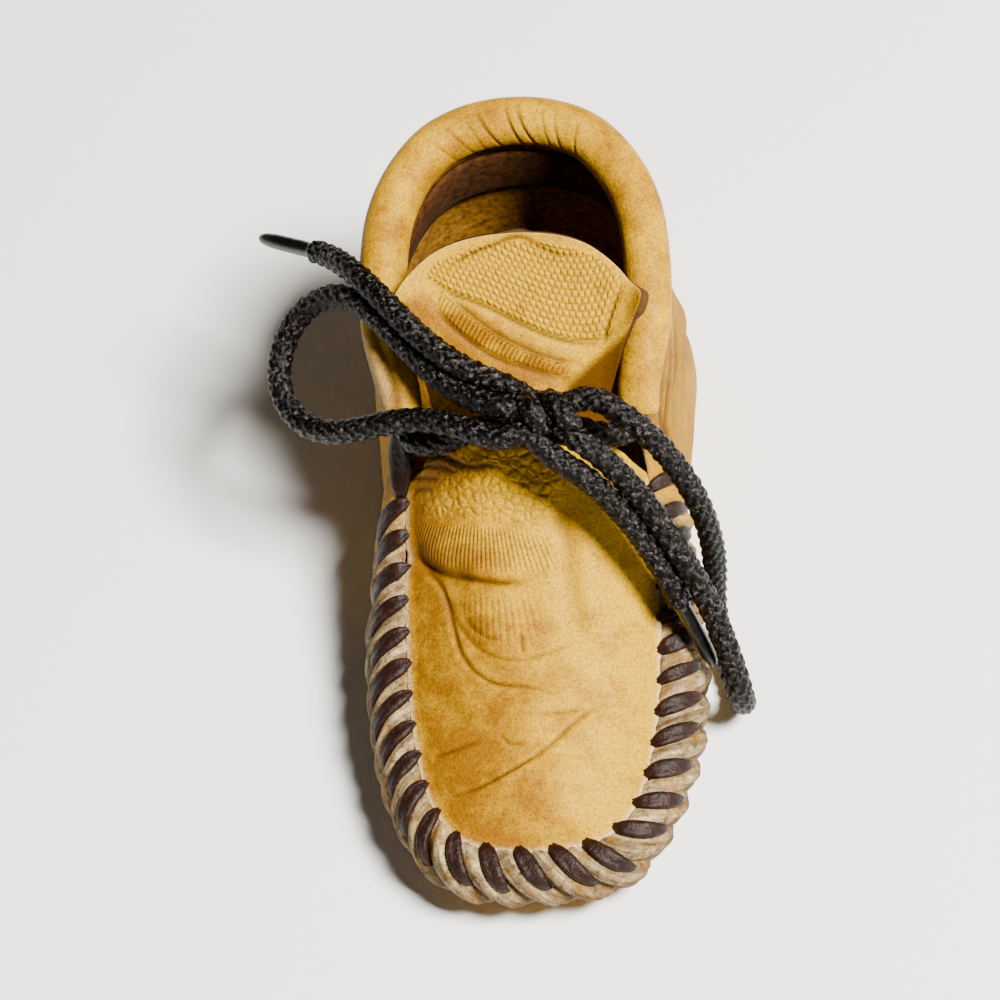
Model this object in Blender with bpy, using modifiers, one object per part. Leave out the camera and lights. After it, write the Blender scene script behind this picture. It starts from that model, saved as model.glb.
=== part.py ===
"""Baby moccasin: a soft one-piece bottom gathered round a plug, a rolled collar and a drawstring lace.

The toe points along -Y, the heel along +Y and +Z is up.  The floor is z = 0.
All sizes below are in millimetres; meshes are made in metres.
"""

import math
from collections import namedtuple

import bmesh
import bpy
import numpy as np
from mathutils import Vector

MM = 0.001
GAP = 0.3

# Hide and roll thicknesses
BOTTOM_HIDE = 1.8
PLUG_HIDE = 1.6
COLLAR_RADIUS = 4.0
COLLAR_END_RADIUS = 3.3

# Sole
EDGE_IN = 9.0
SPINE_REACH = 40.0
FLAT_SHARE = 0.62
SOLE_RINGS = (0.0, FLAT_SHARE, 1.0)
TOE_SPRING = 2.4
TOE_SPRING_START = -44.0
ARCH_LIFT = 1.0
ARCH_CENTRE = 6.0
ARCH_REACH = 15.0
HALF_LENGTH = 62.0

# Gathered seam round the plug
STITCHES_PER_SIDE = 14
SAMPLES_PER_STITCH = 4
PUCKER_HEIGHT = 0.55
PUCKER_FROM = 0.42
REAR_SAMPLES = 15
WALL_ROWS = (0.14, 0.28, 0.42, 0.56, 0.7, 0.85, 1.0)

# One row for each section of the last, toe to heel, on the +X side.
# out_x, out_y: widest outline seen from above.  top_x, top_y, top_z: upper edge of the hide,
# which is the plug seam in front and the collar seam behind.  roll_out, roll_up: the handle
# along which the wall arrives at that edge, measured outwards and upwards from it.
Section = namedtuple("Section", "place out_x out_y top_x top_y top_z roll_out roll_up")
SECTIONS = (
    Section("toe tip", 0.0, -61.4, 0.0, -55.8, 13.6, 9.0, 1.0),
    Section("toe corner", 14.6, -58.4, 11.8, -53.3, 13.7, 9.0, 1.0),
    Section("toe side", 21.8, -48.5, 17.0, -46.0, 14.2, 9.0, 1.0),
    Section("fore ball", 26.0, -35.0, 19.8, -33.5, 16.0, 9.0, 1.0),
    Section("ball", 27.5, -20.0, 20.7, -19.0, 19.0, 9.0, 1.0),
    Section("waist", 26.4, -7.0, 20.6, -7.0, 24.0, 8.0, 0.0),
    Section("throat", 25.2, 4.0, 19.8, 4.0, 30.5, 6.0, -2.0),
    Section("collar start", 25.4, 13.0, 19.4, 11.0, 38.6, 3.5, -10.0),
    Section("quarter", 26.8, 27.0, 21.7, 24.0, 45.8, 3.0, -16.0),
    Section("heel side", 26.8, 40.0, 20.6, 39.0, 50.6, 3.0, -18.0),
    Section("heel corner", 20.8, 54.4, 14.2, 50.9, 54.0, 3.5, -18.0),
    Section("heel back", 0.0, 62.0, 0.0, 56.0, 55.6, 3.5, -18.0),
)
THROAT_ROW = 6

# Crown of the plug and tongue along the middle line, toe to tongue tip
Crown = namedtuple("Crown", "y z")
CROWN = (
    Crown(-42.0, 20.0),
    Crown(-30.0, 23.6),
    Crown(-19.0, 27.4),
    Crown(-8.0, 33.6),
    Crown(1.0, 40.6),
    Crown(7.0, 45.4),
    Crown(15.0, 50.8),
    Crown(26.0, 57.6),
)

# Free edge of the tongue past the throat, on the +X side
TongueEdge = namedtuple("TongueEdge", "x y z")
TONGUE = (
    TongueEdge(16.4, 5.2, 34.6),
    TongueEdge(14.4, 9.0, 40.8),
    TongueEdge(15.8, 14.5, 49.4),
    TongueEdge(19.6, 21.5, 55.8),
    TongueEdge(13.6, 28.2, 59.4),
    TongueEdge(0.0, 31.2, 60.9),
)
TONGUE_SAMPLES = 12
DOME_POWER = 2.2
PLUG_RINGS = (0.0, 0.3, 0.55, 0.78, 1.0)

# Lace: one round cord.  The crossing is given on the +X side and mirrored; the rest run from the knot.
LACE_RADIUS = 1.95
AGLET_RADIUS = 1.3
LACE_SPACING = 5.4
KNOT_CENTRE = (5.0, 0.8, 51.4)
KNOT_REACH = (6.0, 4.4, 5.0)
KNOT_WRAP = 0.08
KNOT_SEGMENTS = 14
LacePoint = namedtuple("LacePoint", "x y z")
CROSSING = (
    LacePoint(18.9, 9.3, 41.8),
    LacePoint(18.2, 6.2, 39.6),
    LacePoint(14.6, 4.6, 40.6),
    LacePoint(8.0, 4.4, 44.5),
    LacePoint(0.0, 4.4, 46.0),
)
LOOP_LEFT = (
    LacePoint(-2.3, 1.7, 53.9),
    LacePoint(-8.0, 5.6, 52.6),
    LacePoint(-13.2, 10.2, 52.8),
    LacePoint(-17.7, 15.2, 54.3),
    LacePoint(-22.3, 20.3, 55.6),
    LacePoint(-27.0, 25.3, 54.1),
    LacePoint(-31.6, 28.7, 50.2),
    LacePoint(-36.4, 29.0, 45.3),
    LacePoint(-39.9, 25.2, 40.8),
    LacePoint(-40.1, 18.9, 38.0),
    LacePoint(-36.7, 13.0, 37.5),
    LacePoint(-31.4, 9.1, 39.5),
    LacePoint(-25.7, 7.0, 42.9),
    LacePoint(-19.8, 5.6, 46.4),
    LacePoint(-13.5, 3.7, 48.7),
    LacePoint(-7.5, 0.5, 50.1),
    LacePoint(-1.6, -3.0, 51.6),
)
LOOP_RIGHT = (
    LacePoint(11.8, 3.5, 53.3),
    LacePoint(16.3, 1.3, 51.9),
    LacePoint(20.3, -1.2, 49.7),
    LacePoint(23.6, -3.6, 46.5),
    LacePoint(26.2, -5.5, 42.4),
    LacePoint(28.0, -6.8, 37.7),
    LacePoint(29.1, -7.5, 32.7),
    LacePoint(29.7, -7.8, 27.5),
    LacePoint(29.9, -7.9, 22.2),
    LacePoint(29.7, -7.9, 17.0),
    LacePoint(29.3, -8.3, 11.7),
    LacePoint(29.4, -10.0, 6.7),
    LacePoint(30.3, -13.6, 3.2),
    LacePoint(31.6, -18.4, 2.1),
    LacePoint(32.8, -23.1, 3.6),
    LacePoint(33.4, -26.6, 7.4),
    LacePoint(33.3, -27.9, 12.5),
    LacePoint(32.5, -26.8, 17.5),
    LacePoint(31.2, -24.0, 21.8),
    LacePoint(29.6, -20.7, 25.6),
    LacePoint(27.6, -17.7, 29.5),
    LacePoint(25.3, -14.9, 33.3),
    LacePoint(22.8, -12.1, 37.0),
    LacePoint(20.1, -9.4, 40.7),
    LacePoint(17.2, -7.1, 44.4),
    LacePoint(14.0, -5.3, 48.1),
    LacePoint(10.3, -3.9, 51.6),
)
END_LEFT = (
    LacePoint(0.6, 5.7, 53.4),
    LacePoint(-6.7, 8.9, 55.5),
    LacePoint(-13.3, 13.7, 57.3),
    LacePoint(-18.9, 19.4, 59.0),
    LacePoint(-24.9, 26.7, 58.0),
    LacePoint(-32.4, 36.8, 52.0),
)
AGLET_LEFT = (LacePoint(-33.0, 37.3, 51.7), LacePoint(-43.4, 44.6, 47.2))
END_RIGHT = (
    LacePoint(4.6, -5.2, 50.0),
    LacePoint(9.8, -7.1, 46.6),
    LacePoint(16.1, -10.7, 39.4),
    LacePoint(20.7, -14.6, 32.5),
    LacePoint(24.1, -18.5, 26.9),
)
AGLET_RIGHT = (LacePoint(24.4, -18.9, 26.4), LacePoint(29.2, -24.9, 16.6))

# Colours, roughness and the collection's name
LEATHER_COLOUR = (0.62, 0.36, 0.08, 1.0)
LACE_COLOUR = (0.012, 0.011, 0.011, 1.0)
LEATHER_ROUGHNESS = 0.62
LACE_ROUGHNESS = 0.75
TIP_COLOUR = (0.01, 0.01, 0.01, 1.0)
TIP_ROUGHNESS = 0.35
COLLECTION = "baby_moccasin"


def through(knots, rows, at):
    """Smooth curve through rows at knots, read at the values at.  Its slopes are weighted differences."""
    steps = np.diff(knots)[:, None]
    slopes = np.diff(rows, axis=0) / steps
    inner = (slopes[:-1] * steps[1:] + slopes[1:] * steps[:-1]) / (steps[1:] + steps[:-1])
    tangents = np.vstack([slopes[:1], inner, slopes[-1:]])
    span = np.clip(np.searchsorted(knots, at, side="right") - 1, 0, len(knots) - 2)
    width = steps[span]
    t = ((at - knots[span])[:, None]) / width
    start = rows[span] * (1 + 2 * t) * (1 - t) ** 2 + tangents[span] * width * t * (1 - t) ** 2
    return start + rows[span + 1] * t * t * (3 - 2 * t) + tangents[span + 1] * width * t * t * (t - 1)


def chord_knots(points):
    """Distance along the rows of points, from 0."""
    return np.concatenate([[0.0], np.cumsum(np.linalg.norm(np.diff(points, axis=0), axis=1))])


def section_curve(samples):
    """Reads every column of SECTIONS at the sample values, mirrored past toe and heel so that both are round."""
    rows = np.array([section[1:] for section in SECTIONS])
    mirror = np.array([-1.0 if name.endswith("_x") else 1.0 for name in Section._fields[1:]])
    rows = np.vstack([rows[1] * mirror, rows, rows[-2] * mirror])
    knots = chord_knots(rows[:, :2])
    return through(knots - knots[1], rows, samples)


def section_knots():
    """Distance along the outline of each row of SECTIONS."""
    return chord_knots(np.array([section[1:3] for section in SECTIONS]))


def samples_along():
    """Outline distances of the stations, toe to heel: a few for each stitch in front, wider ones behind."""
    knots = section_knots()
    fine = np.linspace(0.0, knots[THROAT_ROW], 400)
    top = section_curve(fine)[:, 2:5]
    along = chord_knots(top)
    stations = np.linspace(0.0, along[-1], STITCHES_PER_SIDE * SAMPLES_PER_STITCH + 1)
    front = np.interp(stations, along, fine)
    rear = np.linspace(knots[THROAT_ROW], knots[-1], REAR_SAMPLES + 1)[1:]
    return front, rear


def outward(plan):
    """Unit normals of a plan curve that runs from toe to heel on the +X side."""
    along = np.gradient(plan, axis=0)
    normal = np.stack([along[:, 1], -along[:, 0]], axis=1)
    normal[0], normal[-1] = (0.0, -1.0), (0.0, 1.0)
    return normal / np.linalg.norm(normal, axis=1)[:, None]


def edge_lift(y):
    """Height of the sole's edge over the floor: toe spring in front, a slight arch at the waist."""
    spring = TOE_SPRING * (np.clip(TOE_SPRING_START - y, 0.0, None) / (HALF_LENGTH + TOE_SPRING_START)) ** 2
    arch = ARCH_LIFT * np.clip(1.0 - ((y - ARCH_CENTRE) / ARCH_REACH) ** 2, 0.0, None) ** 2
    return spring + arch


def bottom_rings():
    """Rings of the bottom's outer face on the +X side, from the sole's middle line up to the seam."""
    front, rear = samples_along()
    stations = np.concatenate([front, rear])
    table = section_curve(stations)
    out, top, roll = table[:, 0:2], table[:, 2:5], table[:, 5:7]
    normal = outward(out)
    edge = out - EDGE_IN * normal
    lift = edge_lift(edge[:, 1])
    rings = []
    spine_y = np.clip(edge[:, 1], -SPINE_REACH, SPINE_REACH)
    for share in SOLE_RINGS:
        x = edge[:, 0] * share
        y = spine_y + (edge[:, 1] - spine_y) * share
        rise = max(0.0, share - FLAT_SHARE) / (1.0 - FLAT_SHARE)
        rings.append(np.stack([x, y, lift * rise], axis=1))
    # The wall is a curve of four handles; the second is set so that its middle reaches the outline.
    # What the seam lies ahead of or behind the outline is taken up gradually on the way to the top.
    top_out = ((top[:, :2] - out) * normal).sum(axis=1)
    third_out = top_out + roll[:, 0]
    second_out = (EDGE_IN - top_out) / 3.0 - third_out
    seam_share = np.concatenate([np.linspace(0.0, 1.0, len(front)), np.ones(len(rear))])
    wave = np.cos(2.0 * math.pi * STITCHES_PER_SIDE * seam_share) * (seam_share < 1.0)
    side = top[:, :2] - out - top_out[:, None] * normal
    for t in WALL_ROWS:
        weights = ((1 - t) ** 3, 3 * t * (1 - t) ** 2, 3 * t * t * (1 - t), t**3)
        reach = weights[0] * -EDGE_IN + weights[1] * second_out + weights[2] * third_out + weights[3] * top_out
        height = (weights[0] + weights[1]) * lift
        height = height + weights[2] * (top[:, 2] + roll[:, 1]) + weights[3] * top[:, 2]
        swell = PUCKER_HEIGHT * math.sin(math.pi * max(0.0, (t - PUCKER_FROM) / (1 - PUCKER_FROM))) * wave
        plan = out + (reach + 0.7 * swell)[:, None] * normal + side * t * t
        rings.append(np.column_stack([plan, height + 0.7 * swell]))
    return rings, len(front)


def both_sides(ring):
    """A ring from toe to heel on +X, carried back from heel to toe on -X."""
    other = ring[-2:0:-1] * (-1.0, 1.0, 1.0)
    return np.vstack([ring, other])


def ring_object(name, rings, thickness, material):
    """Closed shell: faces between successive rings, merged along the middle line and given its thickness."""
    mesh = bpy.data.meshes.new(name)
    shape = bmesh.new()
    loops = [[shape.verts.new(Vector(p) * MM) for p in both_sides(ring)] for ring in rings]
    for inner, outer in zip(loops, loops[1:]):
        for i, start in enumerate(inner):
            after = (i + 1) % len(inner)
            shape.faces.new((start, outer[i], outer[after], inner[after]))
    bmesh.ops.remove_doubles(shape, verts=shape.verts, dist=1e-6)
    bmesh.ops.dissolve_degenerate(shape, edges=shape.edges, dist=1e-6)
    shape.to_mesh(mesh)
    shape.free()
    mesh.shade_smooth()
    body = add_object(name, mesh, material)
    wall = body.modifiers.new("hide thickness", "SOLIDIFY")
    wall.thickness = thickness * MM
    wall.offset = -1.0
    wall.use_even_offset = True
    return body


def add_object(name, data, material):
    """Links one object to the moccasin's collection and gives it its material."""
    data.materials.append(material)
    made = bpy.data.objects.new(name, data)
    bpy.data.collections[COLLECTION].objects.link(made)
    return made


def plug_rings(seam):
    """Rings of the plug and tongue on the +X side, from the crown line out to the seam and tongue edge."""
    seam = seam[::2]
    plan_normal = outward(seam[:, :2])
    plan_normal[-1] = plan_normal[-2]
    front = seam.copy()
    front[:, :2] -= GAP * plan_normal
    rows = np.vstack([front[-1:], np.array(TONGUE)])
    rows = np.vstack([rows, rows[-2] * (-1.0, 1.0, 1.0)])
    knots = chord_knots(rows)
    at = np.linspace(0.0, knots[-2], TONGUE_SAMPLES + 1)[1:]
    edge = np.vstack([front, through(knots, rows, at)])
    crown = np.array(CROWN)
    spine_y = np.clip(edge[:, 1], crown[0, 0], crown[-1, 0])
    spine_z = through(crown[:, 0], crown, spine_y)[:, 1]
    rings = []
    for share in PLUG_RINGS:
        y = spine_y + (edge[:, 1] - spine_y) * share
        z = spine_z + (edge[:, 2] - spine_z) * share**DOME_POWER
        rings.append(np.stack([edge[:, 0] * share, y, z], axis=1))
    return rings


def collar_path(seam):
    """Middle line of the collar roll, standing on the collar seam, and its radius along it."""
    path = np.vstack([seam, seam[-2::-1] * (-1.0, 1.0, 1.0)])
    along = np.gradient(path, axis=0)
    along /= np.linalg.norm(along, axis=1)[:, None]
    up = np.array((0.0, 0.0, 1.0)) - along * along[:, 2:]
    up /= np.linalg.norm(up, axis=1)[:, None]
    share = np.abs(np.linspace(-1.0, 1.0, len(path)))
    radius = COLLAR_RADIUS + (COLLAR_END_RADIUS - COLLAR_RADIUS) * share**4
    return path + up * (radius + GAP)[:, None], radius


def tube_object(name, path, radius, material, sides):
    """Round cord or roll along a path, with filled ends."""
    data = bpy.data.curves.new(name, "CURVE")
    data.dimensions = "3D"
    data.bevel_depth = MM
    data.bevel_resolution = sides
    data.use_fill_caps = True
    line = data.splines.new("POLY")
    line.points.add(len(path) - 1)
    for point, place, size in zip(line.points, path, radius):
        point.co = (*(Vector(place) * MM), 1.0)
        point.radius = size
    return add_object(name, data, material)


def lace_route(rows):
    """Smooth path through the rows of a lace table with a point about every LACE_SPACING."""
    rows = np.array(rows)
    knots = chord_knots(rows)
    count = max(2, round(knots[-1] / LACE_SPACING) + 1)
    return through(knots, rows, np.linspace(0.0, knots[-1], count))


def lace_object(name, rows, radius, material):
    """One stretch of lace of even radius."""
    path = lace_route(rows)
    return tube_object(name, path, [radius] * len(path), material, 2)


def knot_object(name, material):
    """The knot: an egg-shaped body with a swell round its middle where the lace is wrapped."""
    mesh = bpy.data.meshes.new(name)
    shape = bmesh.new()
    bmesh.ops.create_uvsphere(shape, u_segments=KNOT_SEGMENTS, v_segments=KNOT_SEGMENTS // 2 + 1, radius=1.0)
    for vert in shape.verts:
        along, back, up = vert.co.z, vert.co.x, vert.co.y
        swell = 1.0 - KNOT_WRAP * (1.0 - math.cos(3.0 * math.pi * along)) * (1.0 - along * along)
        place = (along * KNOT_REACH[0], back * KNOT_REACH[1] * swell, up * KNOT_REACH[2] * swell)
        vert.co = (Vector(KNOT_CENTRE) + Vector(place)) * MM
    bmesh.ops.recalc_face_normals(shape, faces=shape.faces)
    shape.to_mesh(mesh)
    shape.free()
    mesh.shade_smooth()
    return add_object(name, mesh, material)


def make_material(name, colour, roughness):
    """Principled surface of one colour."""
    material = bpy.data.materials.new(name)
    material.use_nodes = True
    surface = material.node_tree.nodes["Principled BSDF"]
    surface.inputs["Base Color"].default_value = colour
    surface.inputs["Roughness"].default_value = roughness
    return material


def clear_scene():
    """Removes whatever the scene holds and adds the moccasin's collection."""
    for old in list(bpy.data.objects):
        bpy.data.objects.remove(old, do_unlink=True)
    parts = bpy.data.collections.new(COLLECTION)
    bpy.context.scene.collection.children.link(parts)


def main():
    clear_scene()
    leather = make_material("tan leather", LEATHER_COLOUR, LEATHER_ROUGHNESS)
    rings, front_count = bottom_rings()
    ring_object("moccasin_bottom", rings[::-1], BOTTOM_HIDE, leather)
    ring_object("plug_and_tongue", plug_rings(rings[-1][:front_count]), PLUG_HIDE, leather)
    path, radius = collar_path(rings[-1][front_count + 1:])
    tube_object("collar_roll", path, radius, leather, 4)
    lace = make_material("black lace", LACE_COLOUR, LACE_ROUGHNESS)
    tip = make_material("black lace tip", TIP_COLOUR, TIP_ROUGHNESS)
    crossing = CROSSING + tuple(LacePoint(-row.x, row.y, row.z) for row in CROSSING[-2::-1])
    lace_object("lace_crossing", crossing, LACE_RADIUS, lace)
    knot_object("lace_knot", lace)
    lace_object("lace_loop_left", LOOP_LEFT, LACE_RADIUS, lace)
    lace_object("lace_loop_right", LOOP_RIGHT, LACE_RADIUS, lace)
    lace_object("lace_end_left", END_LEFT, LACE_RADIUS, lace)
    lace_object("lace_end_right", END_RIGHT, LACE_RADIUS, lace)
    lace_object("aglet_left", AGLET_LEFT, AGLET_RADIUS, tip)
    lace_object("aglet_right", AGLET_RIGHT, AGLET_RADIUS, tip)


main()
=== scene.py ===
"""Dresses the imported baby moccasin: gathered hide, tooled plug, collar roll, whip thongs and lace.

The toe points along -Y, the heel along +Y and +Z is up.  The floor is z = 0.
Tables are in millimetres, as in the part's source; meshes are written in metres.
"""

import math

import bpy
import numpy as np
from bpy.props import FloatProperty, FloatVectorProperty, PointerProperty
from bpy.types import Operator, Panel, PropertyGroup
from mathutils import Matrix, Vector


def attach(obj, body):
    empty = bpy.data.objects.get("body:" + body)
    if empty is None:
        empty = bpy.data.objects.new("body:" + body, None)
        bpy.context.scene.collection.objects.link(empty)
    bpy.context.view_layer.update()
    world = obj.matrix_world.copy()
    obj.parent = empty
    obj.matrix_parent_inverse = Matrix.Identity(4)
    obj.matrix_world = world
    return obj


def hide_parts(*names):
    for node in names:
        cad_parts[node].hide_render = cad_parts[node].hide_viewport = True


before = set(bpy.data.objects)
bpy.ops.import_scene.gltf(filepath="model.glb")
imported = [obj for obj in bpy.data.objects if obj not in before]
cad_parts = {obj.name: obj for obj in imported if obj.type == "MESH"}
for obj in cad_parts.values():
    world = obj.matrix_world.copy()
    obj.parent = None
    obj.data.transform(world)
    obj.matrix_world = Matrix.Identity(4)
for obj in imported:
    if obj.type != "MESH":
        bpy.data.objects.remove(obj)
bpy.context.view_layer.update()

bl_info = {
    "name": "Baby moccasin",
    "version": (1, 0, 0),
    "blender": (4, 5, 0),
    "location": "View3D > Sidebar > Moccasin",
    "description": "Leather, seams, lace and stage of a soft baby moccasin",
    "category": "Object",
}

MM = 0.001
BODY = "root"
UP = np.array((0.0, 0.0, 1.0))
MIRROR = np.array((-1.0, 1.0, 1.0))

# Sole and wall of the bottom
EDGE_IN = 9.0
SPINE_REACH = 40.0
FLAT_SHARE = 0.62
TOE_SPRING = 2.4
TOE_SPRING_START = -44.0
ARCH_LIFT = 1.0
ARCH_CENTRE = 6.0
ARCH_REACH = 15.0
HALF_LENGTH = 62.0

# Columns: outline x, y; upper edge x, y, z; handle of the wall at that edge, out and up.
# Rows run from the toe tip to the heel back on the +X side; the plug seam ends at row THROAT_ROW.
LAST = np.array((
    (0.0, -61.4, 0.0, -55.8, 13.6, 9.0, 1.0),
    (14.6, -58.4, 11.8, -53.3, 13.7, 9.0, 1.0),
    (21.8, -48.5, 17.0, -46.0, 14.2, 9.0, 1.0),
    (26.0, -35.0, 19.8, -33.5, 16.0, 9.0, 1.0),
    (27.5, -20.0, 20.7, -19.0, 19.0, 9.0, 1.0),
    (26.4, -7.0, 20.6, -7.0, 24.0, 8.0, 0.0),
    (25.2, 4.0, 19.8, 4.0, 30.5, 6.0, -2.0),
    (25.4, 13.0, 19.4, 11.0, 38.6, 3.5, -10.0),
    (26.8, 27.0, 21.7, 24.0, 45.8, 3.0, -16.0),
    (26.8, 40.0, 20.6, 39.0, 50.6, 3.0, -18.0),
    (20.8, 54.4, 14.2, 50.9, 54.0, 3.5, -18.0),
    (0.0, 62.0, 0.0, 56.0, 55.6, 3.5, -18.0),
))
LAST_MIRROR = np.array((-1.0, 1.0, -1.0, 1.0, 1.0, 1.0, 1.0))
THROAT_ROW = 6
STITCHES_PER_SIDE = 14
STITCH_SLANT = 1.3 / STITCHES_PER_SIDE
SEAM_GAP = 0.3
SLOPE_STEP = 0.4

# Grids: columns for each stitch and behind the throat, rows of sole, wall and plug, sides of tubes
COLUMNS_PER_STITCH = 16
REAR_COLUMNS = 70
SOLE_ROWS = 9
WALL_ROWS = 53
PLUG_SEAM_COLUMNS = 200
TONGUE_COLUMNS = 110
PLUG_ROWS = 76
COLLAR_SIDES = 64
BRAID_SIDES = 36
THONG_SIDES = 20
THONG_RINGS = 37
AGLET_SIDES = 28

# Plug: crown line (y, z) and the tongue's free edge (x, y, z) on the +X side
CROWN = np.array((
    (-42.0, 20.0), (-30.0, 23.6), (-19.0, 27.4), (-8.0, 33.6),
    (1.0, 40.6), (7.0, 45.4), (15.0, 50.8), (26.0, 57.6),
))
TONGUE = np.array((
    (16.4, 5.2, 34.6), (14.4, 9.0, 40.8), (15.8, 14.5, 49.4),
    (19.6, 21.5, 55.8), (13.6, 28.2, 59.4), (0.0, 31.2, 60.9),
))
DOME_POWER = 2.2

# Right corner of the tongue: beyond a fold through a point x, y with a lean the corner turns up,
# and beyond a line through a point, on the side given, the margin drops by up to MARGIN_DROP
CORNER_FOLD = (14.6, 15.1)
CORNER_LEAN = 0.47
MARGIN_LINE = (8.8, 11.9)
MARGIN_SIDE = (0.545, -0.84)
MARGIN_DROP = 4.0

# Collar roll
COLLAR_RADIUS = 4.0
COLLAR_END_RADIUS = 3.3
COLLAR_SEAT = 0.25

# Each end of the collar turns in round the lace: steps forward, then back, and shares of its radius
COLLAR_TURN_STEPS = np.array((1.1, 1.5, 1.3, 0.4, -3.0))
COLLAR_TURN_SIZES = np.array((0.93, 0.8, 0.7, 0.66, 0.62))

# Facing inside the collar: start behind the throat, rises, gap from the hide, swell, and thickness in metres
FACING_START = 9.0
FACING_RISES = np.linspace(0.985, 0.8, 15)
FACING_GAP = 0.9
FACING_SWELL = 0.5
FACING_HIDE = 0.0008

# Creases of the plug in plan: depth, half width, darkness of their painted shade, then points x, y
PLUG_CREASES = (
    (0.7, 0.5, 1.0, ((-19.6, -6.8), (-14.3, -11.5), (-9.4, -13.6), (-4.8, -14.9), (0.6, -15.3))),
    (1.1, 1.7, 0.5, ((-21.0, -4.0), (-17.6, -8.2), (-14.6, -11.2), (-11.6, -12.6), (-8.0, -13.6))),
    (0.45, 0.4, 0.95, (
        (-21.0, -4.0), (-17.4, -9.4), (-14.4, -13.4), (-12.7, -19.4), (-11.4, -24.2), (-9.1, -27.7),
        (-5.6, -30.2), (-1.4, -31.0), (2.3, -31.9), (6.1, -33.3),
    )),
    (0.6, 2.2, 0.16, (
        (-15.0, -13.0), (-10.6, -20.0), (-8.4, -25.2), (-4.6, -28.4), (1.0, -29.0), (6.0, -27.0),
    )),
    (0.26, 0.38, 0.6, (
        (-13.2, -15.4), (-11.1, -20.9), (-7.6, -24.8), (-4.5, -26.4), (-1.0, -26.9), (4.3, -25.5),
        (8.8, -23.3),
    )),
    (0.26, 0.38, 0.6, ((-11.5, -17.9), (-8.8, -21.4), (-6.2, -23.0), (-4.0, -23.5))),
    (0.85, 1.7, 0.34, ((5.0, -2.0), (6.9, -11.1), (7.0, -15.7), (8.0, -19.8), (9.4, -25.0))),
    (0.26, 0.36, 0.6, ((-1.7, -22.4), (-1.0, -26.2))),
    (0.36, 0.36, 0.85, (
        (-14.6, -46.8), (-8.6, -46.3), (-2.4, -43.9), (2.9, -40.5), (6.7, -37.0), (9.0, -35.0),
        (13.5, -32.4),
    )),
    (0.26, 0.36, 0.7, ((0.7, -35.6), (3.8, -35.5), (9.0, -34.6))),
    (0.26, 0.4, 0.6, ((-5.6, -37.7), (-3.5, -39.9), (-0.7, -40.1))),
    (0.3, 0.4, 0.75, ((-16.8, -39.6), (-12.5, -39.4), (-7.8, -38.9))),
    (0.5, 1.8, 0.14, ((-16.0, -28.0), (-12.5, -34.0), (-6.0, -37.0), (1.0, -37.6))),
    (0.4, 0.4, 0.9, ((-18.3, 7.0), (-13.5, 4.6), (-8.5, 1.2), (-5.0, 0.6), (-1.0, -1.0))),
    (0.3, 0.36, 0.85, ((-18.9, 5.6), (-15.4, 4.1), (-12.3, 2.3), (-10.2, 0.8))),
    (0.3, 0.36, 0.8, ((-18.9, 4.5), (-16.4, 3.1), (-13.3, 1.1))),
    (0.3, 0.36, 0.7, ((-19.0, 2.8), (-16.9, 1.9), (-14.7, 0.5))),
    (0.3, 0.36, 0.8, ((-16.0, 7.4), (-12.9, 5.8), (-10.0, 3.8))),
    (0.3, 0.36, 0.85, (
        (-11.6, 24.3), (-8.9, 22.0), (-4.7, 18.8), (-0.6, 16.4), (5.4, 14.0), (12.0, 13.0),
    )),
    (0.3, 0.38, 0.85, (
        (-13.4, 21.8), (-10.3, 19.0), (-6.7, 16.3), (-2.6, 14.0), (1.6, 12.6), (8.4, 10.8),
    )),
    (0.34, 0.4, 0.9, (
        (-13.6, 25.2), (-10.6, 23.6), (-4.6, 21.4), (1.4, 18.5), (7.4, 16.2), (12.8, 15.6),
        (15.0, 16.0),
    )),
    (0.4, 0.5, 0.8, ((14.0, 14.6), (15.6, 18.6), (18.2, 23.6))),
    (0.28, 0.34, 0.8, (
        (-11.0, 26.4), (-8.7, 27.9), (-3.0, 30.0), (2.1, 30.6), (4.8, 29.4), (7.4, 28.3), (12.2, 27.6),
    )),
)

# Tooled areas of the plug in plan: rows x, y of their lower and upper borders
PANEL_LOW = (
    (-13.6, 25.6), (-10.6, 24.0), (-4.6, 21.8), (1.4, 18.9), (7.4, 16.6), (12.8, 16.0), (17.6, 17.0),
)
PANEL_HIGH = (
    (-15.4, 25.9), (-10.4, 28.5), (-4.2, 30.2), (1.9, 30.5), (7.4, 29.6), (14.7, 26.6), (17.6, 24.2),
)
BAND_LOW = ((-12.0, 21.2), (-10.3, 19.4), (-6.7, 16.7), (-2.6, 14.4), (1.6, 13.0), (6.0, 11.8), (9.0, 11.2))
BAND_HIGH = ((-12.0, 24.2), (-10.3, 22.7), (-4.7, 18.4), (-0.6, 16.0), (5.4, 13.6), (9.0, 13.0))
RIBS_LOW = ((-19.2, -7.0), (-14.3, -10.8), (-9.4, -12.8), (-1.6, -14.3), (6.4, -15.0))
RIBS_HIGH = ((-19.2, 1.0), (-16.4, -2.2), (-9.0, -5.4), (-1.3, -7.6), (6.4, -8.6))
LOWER_RIBS_LOW = ((-12.0, -22.0), (-7.6, -24.2), (-1.0, -26.0), (4.3, -25.0))
LOWER_RIBS_HIGH = ((-12.0, -14.2), (-9.4, -14.6), (-4.8, -15.8), (4.3, -16.4))

# Tooling: spacing of beads along and across their rows, of the band's ribs, and the fan of ribs on the vamp
PANEL_END = (15.6, 17.0)
BEAD_SPACING = 1.05
BEAD_ROW = 0.95
BAND_RIB = 0.72
FAN_CENTRE = (-6.0, 10.0)
FAN_RIBS = 90.0
PANEL_DEPTH = 0.3
BAND_DEPTH = 0.26
RIBS_DEPTH = 0.17
LOWER_RIBS_DEPTH = 0.12

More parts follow.
